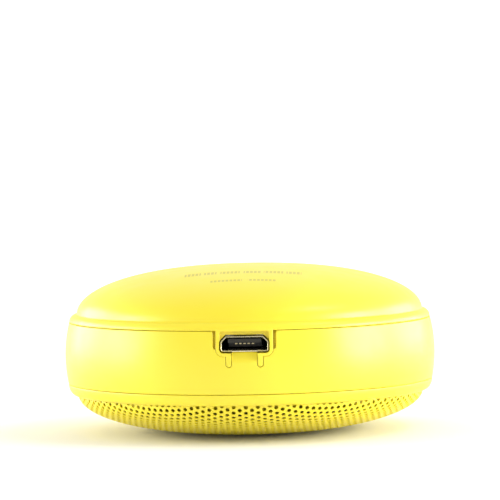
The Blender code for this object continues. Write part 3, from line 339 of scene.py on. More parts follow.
def places(name, count=4):
    """The (x, y) centre of each numbered screw."""
    found = []
    for k in range(1, count + 1):
        low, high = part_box(f"{name}_{k}")
        found.append(((low.x + high.x) / 2, (low.y + high.y) / 2))
    return found


def columns(spots, radius, bottom, top, steps=40):
    bm = bmesh.new()
    for x, y in spots:
        lift = Matrix.Translation((x, y, (bottom + top) / 2))
        bmesh.ops.create_cone(
            bm, cap_ends=True, segments=steps, radius1=radius, radius2=radius, depth=top - bottom, matrix=lift
        )
    return bm


def carve(bm, *steps, solver="EXACT"):
    """Runs Booleans on a mesh, each step being (operation, tool mesh), and returns the result."""
    body = finished(bm, "blank", None)
    tools = []
    for operation, tool in steps:
        cutter = finished(tool, "tool", None)
        tools.append(cutter)
        modifier = body.modifiers.new(operation, "BOOLEAN")
        modifier.operation = operation
        modifier.object = cutter
        modifier.solver = solver
    graph = bpy.context.evaluated_depsgraph_get()
    made = bmesh.new()
    made.from_object(body, graph)
    for obj in [body, *tools]:
        bpy.data.objects.remove(obj)
    bmesh.ops.remove_doubles(made, verts=made.verts, dist=2e-7)
    return made


# ---------------------------------------------------------------- casing


def frame_outline(grow=0.0):
    """The port frame from the front: a tab with round lower corners and two legs with round ends."""
    half, bottom, foot = FRAME_WIDTH / 2, UPPER_SEAM_Z - FRAME_DROP, UPPER_SEAM_Z - LEG_DROP
    outer, inner = (LEG_SPACING + LEG_WIDTH) / 2, (LEG_SPACING - LEG_WIDTH) / 2
    top, toe = UPPER_SEAM_Z + 0.5 * MM, LEG_WIDTH / 2 - 0.01 * MM
    right = [
        (inner, bottom, 0.15 * MM),
        (inner, foot, toe),
        (outer, foot, toe),
        (outer, bottom, 0.2 * MM),
        (half, bottom, FRAME_CORNER),
        (half, top, 0.0),
    ]
    return rounded([(-x, z, r) for x, z, r in reversed(right)] + right, grow)


def notch_outline(grow=0.0):
    """The band's notch: the frame with a hair of room, and a wider gap beside its upper part."""
    gap, hair = LEG_GAP, HAIR_GAP
    half = FRAME_WIDTH / 2 + hair
    bottom, foot = UPPER_SEAM_Z - FRAME_DROP - hair, UPPER_SEAM_Z - LEG_DROP - gap
    outer, inner = (LEG_SPACING + LEG_WIDTH) / 2 + gap, (LEG_SPACING - LEG_WIDTH) / 2 - gap
    brink, toe = UPPER_SEAM_Z - SEAM / 2, LEG_WIDTH / 2 + gap - 0.01 * MM
    side, shelf = FRAME_WIDTH / 2 + SIDE_GAP, UPPER_SEAM_Z - SIDE_GAP_DROP
    right = [
        (inner, LEDGE_Z, 0.1 * MM),
        (inner, foot, toe),
        (outer, foot, toe),
        (outer, bottom, 0.15 * MM),
        (half, bottom, FRAME_CORNER + hair),
        (half, shelf - 0.12 * MM, 0.0),
        (side, shelf + 0.12 * MM, 0.1 * MM),
        (side, brink, NOTCH_CORNER),
        (side + NOTCH_CORNER + 0.05 * MM, brink, 0.0),
        (side + NOTCH_CORNER + 0.05 * MM, UPPER_SEAM_Z + 1.0 * MM, 0.0),
    ]
    return rounded([(-x, z, r) for x, z, r in reversed(right)] + right, grow)


def recess_outline(grow=0.0):
    half = FRAME_WIDTH / 2 - FRAME_WALL
    low, high = UPPER_SEAM_Z - FRAME_DROP + FRAME_WALL + 0.05 * MM, UPPER_SEAM_Z - 0.1 * MM
    low_round, high_round = 0.75 * MM, 0.4 * MM
    corners = [(-half, low, low_round), (half, low, low_round)]
    corners += [(half, high, high_round), (-half, high, high_round)]
    return rounded(corners, grow)


def socket_outline(grow=0.0):
    """The socket's section: flat below, with its two upper corners cut off."""
    x, low, high = SOCKET_HIGH.x, SOCKET_LOW.z, SOCKET_HIGH.z
    cut = 0.85 * MM
    corners = [(-x, low, 0.4 * MM), (x, low, 0.4 * MM), (x, high - cut, 0.3 * MM), (x - cut, high, 0.3 * MM)]
    corners += [(cut - x, high, 0.3 * MM), (-x, high - cut, 0.3 * MM)]
    return rounded(corners, grow)


def cap_outline(grow=0.0):
    return pill(*BUTTON_SIZE, grow, BUTTON_Z)


def opening_outline(grow=0.0):
    """The hole round a button's cap."""
    return cap_outline(grow + 0.1 * MM)


def dish_outline(grow=0.0):
    """The shallow strip that the buttons stand in."""
    reach = BODY_RADIUS * math.sin(math.radians(BUTTONS["volume_down"])) + 4.5 * MM
    return dense_pill(2 * reach, 5.4 * MM, grow, BUTTON_Z)


def pipe_outline(grow=0.0):
    """The hole round the light pipe."""
    return disc_outline(PIPE_RADIUS + 0.06 * MM, PIPE_Z, grow)


def skin(low, high, inset=0.0, steps=24):
    """The band's own outline between two heights, as (r, z, 0) corners."""
    heights = [low + (high - low) * k / steps for k in range(steps + 1)]
    return [(band_radius(z) - inset, z, 0.0) for z in heights]


def hull(low, high, inset=0.0):
    """A solid drum with the band's own surface."""
    corners = skin(low, high, inset)
    return lathe([(0.0, low)] + [p[:2] for p in corners] + [(0.0, high)])


def make_rear_shell(material):
    """The dome with its rim, the bosses under it, and the port frame that hangs from its front."""
    run = UPPER_SEAM_RADIUS - CREASE_RADIUS
    rim = arc((CREASE_RADIUS, UPPER_SEAM_Z), (run, CREASE_Z - UPPER_SEAM_Z), 76, 9, 14)
    corners = [(*p, 0.0) for p in dome_line()] + [(CREASE_RADIUS, CREASE_Z, CREASE_FILLET)]
    corners += [(*p, 0.0) for p in rim] + [(UPPER_SEAM_RADIUS, UPPER_SEAM_Z, SEAM_EDGE)]
    corners += [(REAR_INNER, UPPER_SEAM_Z, 0.1 * MM), (REAR_INNER, CREASE_Z - WALL / 2, 0.0)]
    inner = [p for p in dome_line(WALL) if p[0] < REAR_INNER - 0.1 * MM]
    corners += [(*p, 0.0) for p in reversed(inner)]
    case, board = places("case_screw"), places("board_screw")
    leg, frame_foot = (LEG_SPACING - LEG_WIDTH) / 2, UPPER_SEAM_Z - FRAME_DROP
    low, high = frame_foot - PAST, frame_foot + 2 * FRAME_WALL
    lip_gap = [(-leg, low), (leg, low), (leg, high), (-leg, high)]
    shell = carve(
        lathe(rounded(corners, steps=5)),
        ("UNION", under_dome(columns(case, CASE_BOSS, LOWER_SEAM_Z + COLUMN_RISE + FIT, TOP_Z + PAST))),
        ("UNION", under_dome(columns(board, BOARD_POST, BOARD_HIGH.z + FIT, TOP_Z + PAST))),
        ("UNION", make_shoulder()),
        ("UNION", make_tab()),
        ("DIFFERENCE", pocket(recess_outline, FRAME_EDGE, RECESS_Y)),
        ("DIFFERENCE", prism(lip_gap, FRONT, RECESS_Y)),
        ("DIFFERENCE", prism(socket_outline(MOUTH_GAP), FRONT, INSIDE - PAST)),
        ("DIFFERENCE", columns(case, CASE_BORE, LOWER_SEAM_Z, LOWER_SEAM_Z + CASE_BORE_DEPTH)),
        ("DIFFERENCE", columns(board, BOARD_BORE, BOARD_HIGH.z, BOARD_HIGH.z + BOARD_BORE_DEPTH)),
    )
    return finished(shell, "rear_shell_finished", material, replaces=["rear_shell"])


def under_dome(posts):
    """Cuts posts off half-way through the dome's wall."""
    inner = REAR_INNER - 0.1 * MM
    core = lathe(dome_line(WALL / 2) + [(inner, CREASE_Z), (inner, 0.0), (0.0, 0.0)])
    return carve(posts, ("INTERSECT", core))


def make_tab():
    """The port frame before its recess is cut: it lies almost flush in the band's notch."""
    outline = pocket(frame_outline, FRAME_EDGE, -WALL_OUTER - FIT, flare=False)
    return carve(hull(UPPER_SEAM_Z - 8 * MM, UPPER_SEAM_Z + 0.45 * MM, 0.004 * MM), ("INTERSECT", outline))


def make_shoulder():
    """The floor of the gaps on both sides of the port frame."""
    half, shelf = FRAME_WIDTH / 2 + SIDE_GAP + 0.3 * MM, UPPER_SEAM_Z - SIDE_GAP_DROP - 0.3 * MM
    outline = box_outline(-half, half, shelf, UPPER_SEAM_Z + PAST, 0.1 * MM)
    return carve(
        hull(shelf - PAST, UPPER_SEAM_Z + 0.4 * MM, GAP_DEPTH),
        ("INTERSECT", prism(outline, FRONT, -BAND_INNER + 0.05 * MM)),
    )


def make_ramp():
    """A cutter for the ramp between the frame's legs, which runs in under the socket."""
    foot = UPPER_SEAM_Z - 5.0 * MM
    ramp = [(FRONT, foot), (-BODY_RADIUS, foot)]
    for k in range(1, 13):
        ramp.append((-BODY_RADIUS + RAMP_DEPTH * (k / 12) ** 1.5, foot + RAMP_RISE * k / 12))
    ramp += [(ramp[-1][0], LEDGE_Z + 1.2 * MM), (FRONT, LEDGE_Z + 1.2 * MM)]
    half = LEG_SPACING / 2
    return lofted([[Vector((x, y, z)) for y, z in ramp] for x in (-half, half)])


def make_side_band(material):
    """The barrel band, with the port frame's notch, the dish for the buttons, and their openings."""
    low, high = LOWER_SEAM_Z + SEAM, UPPER_SEAM_Z - SEAM
    corners = [(BAND_INNER, low, 0.1 * MM), (band_radius(low), low, SEAM_EDGE)]
    corners += skin(low + 0.3 * MM, high - 0.3 * MM)
    corners += [(band_radius(high), high, SEAM_EDGE), (BAND_INNER, high, 0.1 * MM)]
    dish = pocket(dish_outline, 0.5 * MM, -20 * MM, 180)
    dish = carve(dish, ("DIFFERENCE", hull(BUTTON_Z - 6 * MM, BUTTON_Z + 6 * MM, DISH_DEPTH)))
    tools = [pocket(notch_outline, 0.09 * MM, INSIDE), make_ramp(), dish]
    for turn in BUTTONS.values():
        tools.append(pocket(opening_outline, 0.12 * MM, INSIDE, 180 + turn, sink=DISH_DEPTH))
    tools.append(pocket(pipe_outline, 0.1 * MM, INSIDE, PIPE_TURN))
    band = carve(lathe(rounded(corners, steps=5)), *[("DIFFERENCE", tool) for tool in tools])
    return finished(band, "side_band_finished", material, replaces=["side_band"])


def make_front_housing(material):
    """The bezel, the wall inside the band, and the baffle that the driver sits on."""
    run = LOWER_SEAM_RADIUS - BEZEL_EDGE_RADIUS
    bezel = arc((BEZEL_EDGE_RADIUS, LOWER_SEAM_Z), (run, LOWER_SEAM_Z - LIP_Z), -84, -9, 14)
    top = LOWER_SEAM_Z
    corners = [(GRILLE_RADIUS + 0.1 * MM, LIP_Z, 0.12 * MM)] + [(*p, 0.0) for p in bezel]
    corners += [
        (LOWER_SEAM_RADIUS, top, SEAM_EDGE),
        (WALL_OUTER, top, 0.05 * MM),
        (WALL_OUTER, LIP_TOP, 0.1 * MM),
        (WALL_OUTER - 0.45 * MM, LIP_TOP, 0.1 * MM),
        (WALL_OUTER - 0.45 * MM, WALL_TOP, 0.05 * MM),
        (WALL_INNER, WALL_TOP, 0.3 * MM),
        (WALL_INNER, LIP_Z + 2.0 * MM, 0.6 * MM),
        (SEAT_OUTER, SEAT_TOP, 0.4 * MM),
        (SEAT_INNER, SEAT_TOP, 0.15 * MM),
        (SEAT_INNER, BAFFLE_FLOOR, 0.15 * MM),
        (SEAT_OUTER + FIT, BAFFLE_FLOOR, 0.3 * MM),
        (WALL_INNER + 2 * FIT, LIP_Z + 0.7 * MM, 0.2 * MM),
        (GRILLE_RADIUS + 0.1 * MM, LIP_Z + 0.7 * MM, 0.05 * MM),
    ]
    port = box_outline(-4.3 * MM, 4.3 * MM, 14.6 * MM, 20 * MM, 0.4 * MM)
    case, driver = places("case_screw"), places("driver_screw")
    head, shank = CASE_SCREW_LOW.z + CASE_HEAD_HEIGHT + FIT, DRIVER_SCREW_LOW.z
    steps = [
        ("UNION", columns(case, CASE_COLUMN, LIP_Z - COLUMN_DROP, LOWER_SEAM_Z + COLUMN_RISE)),
        ("UNION", columns(driver, DRIVER_BOSS, SEAT_TOP - 0.6 * MM, shank + DRIVER_SHANK - FIT)),
        ("DIFFERENCE", columns(case, CASE_HEAD, 0.0, head)),
        ("DIFFERENCE", columns(case, CASE_HOLE, 0.0, UPPER_SEAM_Z)),
        ("DIFFERENCE", columns(driver, DRIVER_BORE, shank - FIT, UPPER_SEAM_Z)),
        ("DIFFERENCE", prism(port, -29 * MM, -24 * MM)),
        ("DIFFERENCE", prism(disc_outline(PIPE_RADIUS + FIT, PIPE_Z), -29 * MM, INSIDE, PIPE_TURN)),
    ]
    half, rise = PLUNGER_SLOT
    slot = box_outline(-half, half, PLUNGER_Z - rise, PLUNGER_Z + rise, 0.2 * MM)
    for turn in BUTTONS.values():
        steps.append(("DIFFERENCE", prism(slot, -WALL_OUTER - PAST, -WALL_INNER + PAST, 180 + turn)))
    housing = carve(lathe(rounded(corners, steps=5)), *steps)
    return finished(housing, "front_housing_finished", material, replaces=["front_housing"])


def lattice_sheet(reach):
    """A flat sheet of triangles with a point at the middle of each hole. Odd columns sit half a pitch up."""
    out, up = int(reach / HOLE_COLUMN) + 2, int(reach / HOLE_PITCH) + 2
    bm = bmesh.new()
    spots = {}
    for i in range(-out, out + 1):
        for j in range(-up, up + 1):
            spots[i, j] = bm.verts.new((i * HOLE_COLUMN, (j + 0.5 * (i % 2)) * HOLE_PITCH, 0))
    for i, j in spots:
        beside = (i + 1, j + i % 2)
        for trio in (((i, j), (beside[0], beside[1] - 1), beside), ((i, j), beside, (i, j + 1))):
            if all(spot in spots for spot in trio):
                bm.faces.new([spots[spot] for spot in trio])
    far = [v for v in bm.verts if v.co.length > reach + HOLE_PITCH]
    bmesh.ops.delete(bm, geom=far, context="VERTS")
    return bm


def punch(bm):
    """Opens a round hole at each point of a lattice sheet, but not in the plain spot at its middle."""
    spots = [v for v in bm.verts if v.co.length > PLAIN_SPOT and not v.is_boundary]
    made = bmesh.ops.bevel(
        bm, geom=spots, offset=HOLE_RADIUS, segments=2, profile=0.5, affect="VERTICES", material=-1
    )
    for v in {v for face in made["faces"] for v in face.verts}:
        column = round(v.co.x / HOLE_COLUMN)
        shift = 0.5 * (column % 2)
        row = round(v.co.y / HOLE_PITCH - shift) + shift
        centre = Vector((column * HOLE_COLUMN, row * HOLE_PITCH, 0))
        spoke = v.co - centre
        if spoke.length > HOLE_RADIUS / 4:
            v.co = centre + spoke.normalized() * HOLE_RADIUS
    bmesh.ops.delete(bm, geom=made["faces"], context="FACES")


def make_grille(material):
    """A sheet punched flat on a regular lattice, cut round, and pressed into its dish."""
    line = grille_line()
    reach = line[-1][0]
    bm = lattice_sheet(reach)
    punch(bm)
    raised = bmesh.ops.extrude_face_region(bm, geom=bm.faces[:])["geom"]
    raised = [v for v in raised if isinstance(v, bmesh.types.BMVert)]
    bmesh.ops.translate(bm, verts=raised, vec=(0, 0, GRILLE_SHEET))
    bmesh.ops.recalc_face_normals(bm, faces=bm.faces)
    sheet = carve(bm, ("INTERSECT", columns([(0, 0)], reach, -PAST, PAST, ROUND_STEPS)))
    press(sheet, line)
    return finished(sheet, "grille_finished", material, replaces=["grille"])


def press(bm, line):
    """Bends a flat sheet, whose face is at z = 0, so that its face follows a line turned round Z."""
    for v in bm.verts:
        travelled = math.hypot(v.co.x, v.co.y)
        radius, height = along(line, travelled)
        before, after = along(line, max(travelled - 0.2 * MM, 0)), along(line, travelled + 0.2 * MM)
        slope = math.atan2(after[1] - before[1], after[0] - before[0])
        sunk = v.co.z
        radius -= sunk * math.sin(slope)
        height += sunk * math.cos(slope)
        spread = radius / travelled if travelled > 1e-9 else 1.0
        v.co = (v.co.x * spread, v.co.y * spread, height)


def make_cloth(material):
    """Acoustic cloth stretched over the back of the grille."""
    line = grille_line()
    reach = max(travelled for travelled, radius, height in line if radius < GRILLE_RADIUS - 1.3 * MM)
    radii = [reach * k / 40 for k in range(41)]
    bm = lathe([(r, CLOTH_Z + CLOTH) for r in radii] + [(r, CLOTH_Z) for r in reversed(radii)], 96)
    press(bm, line)
    cloth = finished(bm, "grille_cloth_finished", material, replaces=["grille_cloth"])
    2 * reach
    2 * reach
    math.pi * reach**2
    return cloth


# ---------------------------------------------------------------- soft pieces inside


def thickened(line, sheet):
    """A ring of sheet, drawn by the line of its lower face."""
    upper = []
    for k, here in enumerate(line):
        before, after = Vector(line[max(k - 1, 0)]), Vector(line[min(k + 1, len(line) - 1)])
        run = (after - before).normalized()
        upper.append((here[0] - run.y * sheet, here[1] + run.x * sheet))
    return lathe(line + upper[::-1], 96)


def make_surround(material):
    """The rubber half-roll: its land is glued under the driver's frame and its lip under the cone."""
    low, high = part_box("surround")
    land_z, lip_z = high.z - SURROUND_SHEET, low.z + SURROUND_ROLL + FIT
    centre = high.x - SURROUND_LAND - SURROUND_ROLL
    outer, turn = centre + SURROUND_ROLL, 0.1 * MM
    line = [(centre - SURROUND_ROLL - SURROUND_LAND, lip_z)]
    line += arc((centre, lip_z), (SURROUND_ROLL, SURROUND_ROLL), 180, 360, 24)
    line += [(outer, land_z - turn), (outer + turn, land_z), (high.x, land_z)]
    ring = thickened(line, SURROUND_SHEET)
    piece = finished(ring, "surround_finished", material, None, ["surround"])
    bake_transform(piece)


def make_spider(material):
    """The corrugated cloth ring: its rim is glued under the frame's shelf and its neck to the coil."""
    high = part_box("spider")[1]
    neck, rim_z = COIL_HIGH.x + FIT, high.z - CLOTH
    inner, outer = neck + 0.3 * MM, high.x - SPIDER_LAND
    line = [(neck, rim_z - SPIDER_DROP)]
    for k in range(49):
        share = k / 48
        height = SPIDER_WAVE * math.sin(math.tau * 2 * share)
        line.append((inner + (outer - inner) * share, rim_z - SPIDER_DROP * (1 - share) - height))
    ring = thickened(line + [(high.x, rim_z)], CLOTH)
    piece = finished(ring, "spider_finished", material, None, ["spider"])
    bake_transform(piece)


def make_gasket(material):
    """A die-cut ring of closed foam, pressed a little rounder at its edges."""
    low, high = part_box("driver_gasket")
    inner, edge = high.x - GASKET_WIDTH, 0.18 * MM
    corners = [(inner, low.z, edge), (high.x, low.z, edge), (high.x, high.z, edge), (inner, high.z, edge)]
    bm = lathe(rounded(corners), 128)
    ring = finished(bm, "driver_gasket_finished", material, replaces=["driver_gasket"])


def make_battery_pad(material):
    """The foam pad under the cell, rounded at its corners and along its edges."""
    low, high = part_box("battery_pad")
    bm = bmesh.new()
    size = Matrix.Diagonal((*(high - low), 1))
    bmesh.ops.create_cube(bm, size=1.0, matrix=Matrix.Translation((low + high) / 2) @ size)
    upright = [e for e in bm.edges if not is_level(e)]
    bmesh.ops.bevel(
        bm, geom=upright, offset=1.2 * MM, segments=6, profile=0.5, affect="EDGES", material=-1
    )
    level = [e for e in bm.edges if is_level(e)]
    bmesh.ops.bevel(
        bm, geom=level, offset=0.12 * MM, segments=3, profile=0.5, affect="EDGES", material=-1
    )
    pad = finished(bm, "battery_pad_finished", material, replaces=["battery_pad"])


def is_level(edge):
    return abs(edge.verts[0].co.z - edge.verts[1].co.z) < 0.01 * MM


# ---------------------------------------------------------------- buttons, socket and light


def marks(name):
    """The outlines of the mark sunk in a button: a minus, a plus, or a ring with a bar."""
    bar, reach, ring, z = 0.16 * MM, 0.75 * MM, 0.72 * MM, BUTTON_Z
    flat = box_outline(-reach, reach, z - bar, z + bar, 0.1 * MM)
    upright = box_outline(-bar, bar, z - reach, z + reach, 0.1 * MM)
    short = box_outline(-bar, bar, z + 0.15 * MM, z + 1.0 * MM, 0.1 * MM)
    loop = stroke(arc((0.0, z), (ring, ring), 128, 412, 32), 0.3 * MM)
    return {"volume_down": [flat], "volume_up": [flat, upright], "power": [short, loop]}[name]


def make_button(name, material):
    """A cap flush with the band, with a flange behind the band's wall and a stem to its switch."""
    turn, inner = 180 + BUTTONS[name], POWER_LOW.y + 1.35 * MM
    plug = pocket(cap_outline, 0.25 * MM, -POWER_LOW.y - 1.9 * MM, turn, flare=False)
    cap = carve(hull(BUTTON_Z - 3 * MM, BUTTON_Z + 3 * MM), ("INTERSECT", plug))
    flange = pill(8.6 * MM, 5.2 * MM, 0.0, BUTTON_Z)
    stem = box_outline(-1.2 * MM, 1.2 * MM, PLUNGER_Z - 0.6 * MM, PLUNGER_Z + 0.6 * MM, 0.15 * MM)
    steps = [
        ("UNION", prism(flange, -inner - 0.65 * MM, -inner, turn)),
        ("UNION", prism(stem, -inner - 0.3 * MM, -POWER_LOW.y, turn)),
    ]
    for mark in marks(name):
        steps.append(("DIFFERENCE", prism(mark, FRONT, -BODY_RADIUS + MARK_DEPTH, turn)))
    return finished(carve(cap, *steps), f"{name}_button_finished", material, name, [f"{name}_button"])


def stroke(points, width):
    """A closed outline round a line of points."""
    sides = ([], [])
    for k, here in enumerate(points):
        before, after = points[max(k - 1, 0)], points[min(k + 1, len(points) - 1)]
        run = (Vector(after) - Vector(before)).normalized() * width / 2
        sides[0].append((here[0] + run.y, here[1] - run.x))
        sides[1].append((here[0] - run.y, here[1] + run.x))
    return sides[0] + sides[1][::-1]


def make_socket(material):
    """The socket's formed steel shell: a rolled mouth, latch bumps and windows, and a folded seam."""
    sheet, roll = 0.18 * MM, 0.06 * MM
    front, back = SOCKET_LOW.y, SOCKET_HIGH.y
    floor, roof, above = SOCKET_LOW.z + sheet, SOCKET_HIGH.z, SOCKET_HIGH.z + PAST
    outside = [(0.0, back), (0.0, front + roll), (-roll * 0.3, front + roll * 0.3), (-roll, front)]
    inside = [(roll - sheet, front - roll), (roll - sheet, front)]
    inside += [(-sheet, front + roll), (-sheet, back + PAST)]
    shell, bore = (
        lofted([[(x, y, z) for x, z in socket_outline(grow)] for grow, y in rings])
        for rings in (outside, inside)
    )
    steps = [("DIFFERENCE", bore)]
    for x in (-2.3 * MM, 2.3 * MM):
        bump = bmesh.new()
        size = Matrix.Diagonal((0.42 * MM, 0.5 * MM, 0.16 * MM, 1))
        spot = Matrix.Translation((x, front + 0.75 * MM, floor))
        bmesh.ops.create_uvsphere(bump, u_segments=24, v_segments=12, radius=1, matrix=spot @ size)
        window = box_outline(x - 0.55 * MM, x + 0.55 * MM, roof - 0.6 * MM, above, 0.1 * MM)
        window = prism(window, front + 2.2 * MM, front + 3.8 * MM)
        steps += [("UNION", bump), ("DIFFERENCE", window)]
    seam = box_outline(-0.03 * MM, 0.03 * MM, roof - 0.12 * MM, above, 0.01 * MM)
    steps.append(("DIFFERENCE", prism(seam, front - PAST, back + PAST)))
    shell = carve(shell, *steps)
    return finished(shell, "usb_shell_finished", material, replaces=["usb_shell"])


def make_light(material):
    """The clear light pipe, with a low crown on its outer end."""
    inner, outer, radius = WALL_INNER - 1.5 * MM, band_radius(PIPE_Z) - 0.05 * MM, PIPE_RADIUS
    line = [(0.0, outer), (radius * 0.55, outer - 0.02 * MM), (radius - 0.08 * MM, outer - 0.08 * MM)]
    line += [(radius, outer - 0.2 * MM), (radius, inner + 0.1 * MM), (radius - 0.1 * MM, inner), (0.0, inner)]
    bm = lathe(line, 40)
    turn = Matrix.Rotation(math.radians(PIPE_TURN), 4, "Z") @ Matrix.Rotation(math.pi / 2, 4, "X")
    bmesh.ops.transform(bm, matrix=Matrix.Translation((0, 0, PIPE_Z)) @ turn, verts=bm.verts)
    return finished(bm, "light_pipe_finished", material, replaces=["light_pipe"])


# ---------------------------------------------------------------- materials


class Signal:
    """A shader socket that takes part in sums; each operator adds a Math node."""

    def __init__(self, paint, socket):
        self.paint, self.socket = paint, socket

    def maths(self, operation, *others):
        return self.paint.add("ShaderNodeMath", {"operation": operation}, dict(enumerate((self, *others))))

    def __add__(self, other):
        return self.maths("ADD", other)

    def __sub__(self, other):
        return self.maths("SUBTRACT", other)

    def __rsub__(self, other):
        return (self * -1) + other

    def __mul__(self, other):
        return self.maths("MULTIPLY", other)

    __radd__ = __add__
    __rmul__ = __mul__


class Paint:
    """A Principled material under construction. Constants go straight onto the shader's sockets."""

    def __init__(self, name, colour, roughness, **constants):
        self.material = bpy.data.materials.new(name)
        self.material.use_nodes = True
        self.tree = self.material.node_tree
        self.shader = self.tree.nodes["Principled BSDF"]
        self.shader.inputs["Base Color"].default_value = (*colour, 1)
        self.shader.inputs["Roughness"].default_value = roughness
        for key, value in constants.items():
            self.shader.inputs[key.replace("_", " ")].default_value = value

    def put(self, socket, value):
        if isinstance(value, Signal):
            self.tree.links.new(value.socket, socket)
        elif value is not None:
            socket.default_value = (*value, 1) if socket.type == "RGBA" and len(value) == 3 else value

    def add(self, kind, settings=None, inputs=None, output=0):
        """Adds a node: its type, its settings, and the values or links of its sockets."""
        node = self.tree.nodes.new(kind)
        for key, value in (settings or {}).items():
            setattr(node, key, value)
        for key, value in (inputs or {}).items():
            self.put(node.inputs[key], value)
        return Signal(self, node.outputs[output])

    def feed(self, name, signal):
        self.put(self.shader.inputs[name], signal)

    def place(self):
        return self.add("ShaderNodeTexCoord", output="Object")

    def noise(self, size, detail=3.0, rough=0.5):
        """Noise from 0 to 1 whose blotches are about size metres across."""
        inputs = {"Vector": self.place(), "Scale": 1 / size, "Detail": detail, "Roughness": rough}
        return self.add("ShaderNodeTexNoise", None, inputs)

    def axes(self):
        parts = self.add("ShaderNodeSeparateXYZ", None, {0: self.place()})
        return [Signal(self, parts.socket.node.outputs[k]) for k in range(3)]

    def spread(self, signal, low, high, to_low, to_high):
        inputs = {"Value": signal, 1: low, 2: high, 3: to_low, 4: to_high}
        return self.add("ShaderNodeMapRange", {"clamp": True}, inputs)

    def roughen(self, signal, low, high):
        """Lets the roughness wander between two values."""
        self.feed("Roughness", self.spread(signal, 0.3, 0.7, low, high))

    def blend(self, share, first, second):
        settings = {"data_type": "RGBA", "blend_type": "MIX"}
        return self.add("ShaderNodeMix", settings, {0: share, 6: first, 7: second}, output=2)

    def bump(self, height, depth, strength=1.0):
        inputs = {"Height": height, "Distance": depth, "Strength": strength}
        self.feed("Normal", self.add("ShaderNodeBump", None, inputs))


TICK, TICK_SHARE = 0.62 * MM, 0.72
PRINT, PRINT_COVER = (0.27, 0.26, 0.15), 0.4
PRINT_ROWS = (
    (-12.8, 1.0, ((-9.8, -7.2), (-6.7, -4.7), (-4.1, -1.0), (-0.4, 2.3), (2.8, 5.9), (6.4, 8.8))),
    (-18.4, 0.5, ((-5.5, -0.5), (0.4, 4.8))),
)
YELLOW = (0.93, 0.78, 0.038)
YELLOW_DEEP = (0.91, 0.765, 0.035)


def satin_plastic(name, marks=False):
    """Moulded yellow plastic: a fine even texture, with the faint cloudiness of its pigment."""
    paint = Paint(name, YELLOW, 0.36, Specular_IOR_Level=0.6)
    cloud = paint.spread(paint.noise(7 * MM, 4), 0.35, 0.65, 0, 1)
    colour = paint.blend(cloud * 0.5, YELLOW, YELLOW_DEEP)
    rough = paint.spread(paint.noise(3 * MM, 5), 0.3, 0.7, 0.33, 0.40)
    if marks:
        mask = print_mask(paint)
        colour = paint.blend(mask * PRINT_COVER, colour, PRINT)
        rough = rough + mask * 0.12
    paint.feed("Base Color", colour)
    paint.feed("Roughness", rough)
    grain = paint.noise(0.09 * MM, 2) + paint.noise(0.35 * MM, 2) * 0.6
    paint.bump(grain, 0.004 * MM, 0.35)
    return paint.material


def print_mask(paint):
    """Rows of plain printed ticks on the dome: 1 on a tick and 0 elsewhere.

    PRINT_ROWS gives, in millimetres, each row's y, half its height, and where along x its groups run.
    """
    x, y, z = paint.axes()
    mask = 0.0
    for row_y, half, groups in PRINT_ROWS:
        row = (y - row_y * MM).maths("ABSOLUTE").maths("LESS_THAN", half * MM)
        inked = 0.0
        for low, high in groups:
            middle, reach = (low + high) / 2 * MM, (high - low) / 2 * MM
            inked = (x - middle).maths("ABSOLUTE").maths("LESS_THAN", reach) + inked
        mask = row * inked + mask
    ticks = (x * (1 / TICK)).maths("FRACT").maths("LESS_THAN", TICK_SHARE)
    return mask * ticks * z.maths("GREATER_THAN", CREASE_Z)


def grille_paint():
    """Stove-enamelled yellow steel: a slight orange peel over the sheet."""
    paint = Paint("yellow_enamel", YELLOW_DEEP, 0.38, Specular_IOR_Level=0.5)
    colour = paint.blend(paint.noise(4 * MM, 3), YELLOW_DEEP, YELLOW)
    paint.feed("Base Color", colour)
    paint.roughen(paint.noise(1.5 * MM, 4), 0.34, 0.44)
    paint.bump(paint.noise(0.5 * MM, 2), 0.008 * MM, 0.4)
    return paint.material


def woven(name, dark, light, pitch, roughness=0.9):
    """A plain weave that runs along X and Y."""
    paint = Paint(name, dark, roughness, Sheen_Weight=0.2)
    x, y, z = paint.axes()
    turns = math.tau / pitch
    across, along_y = (x * turns).maths("SINE"), (y * turns).maths("SINE")
    weave = across * along_y * 0.5 + 0.5
    fuzz = paint.noise(pitch * 3, 4)
    paint.feed("Base Color", paint.blend(weave * 0.7 + fuzz * 0.3, dark, light))
    paint.roughen(fuzz, roughness - 0.06, roughness + 0.05)
    paint.bump(weave + fuzz * 0.4, pitch * 0.25, 0.8)
    return paint.material


def moulded(name, colour, roughness=0.5, grain=0.15 * MM, **constants):
    """Plain moulded or cast stuff: slightly uneven colour, roughness and surface."""
    paint = Paint(name, colour, roughness, **constants)
    darker = tuple(c * 0.82 for c in colour)
    paint.feed("Base Color", paint.blend(paint.noise(grain * 14, 4), darker, colour))
    paint.roughen(paint.noise(grain * 6, 4), roughness * 0.85, roughness * 1.12)
    paint.bump(paint.noise(grain, 3), grain * 0.06, 0.4)
    return paint.material


def metal(name, colour, roughness, size=0.4 * MM, streak=1.0):
    """Bare or plated metal: fine drawing lines and a little tarnish."""
    paint = Paint(name, colour, roughness, Metallic=1.0)
    lines = paint.add("ShaderNodeMapping", None, {"Vector": paint.place(), "Scale": (1, streak, 1)})
    scratch = paint.add("ShaderNodeTexNoise", None, {"Vector": lines, "Scale": 1 / size, "Detail": 5.0})
    dull = tuple(c * 0.75 for c in colour)
    tarnish = paint.spread(paint.noise(size * 8, 4), 0.35, 0.7, 0, 1)
    paint.feed("Base Color", paint.blend(tarnish, colour, dull))
    paint.roughen(scratch, roughness * 0.75, roughness * 1.3)
    paint.bump(scratch, size * 0.02, 0.3)
    return paint.material


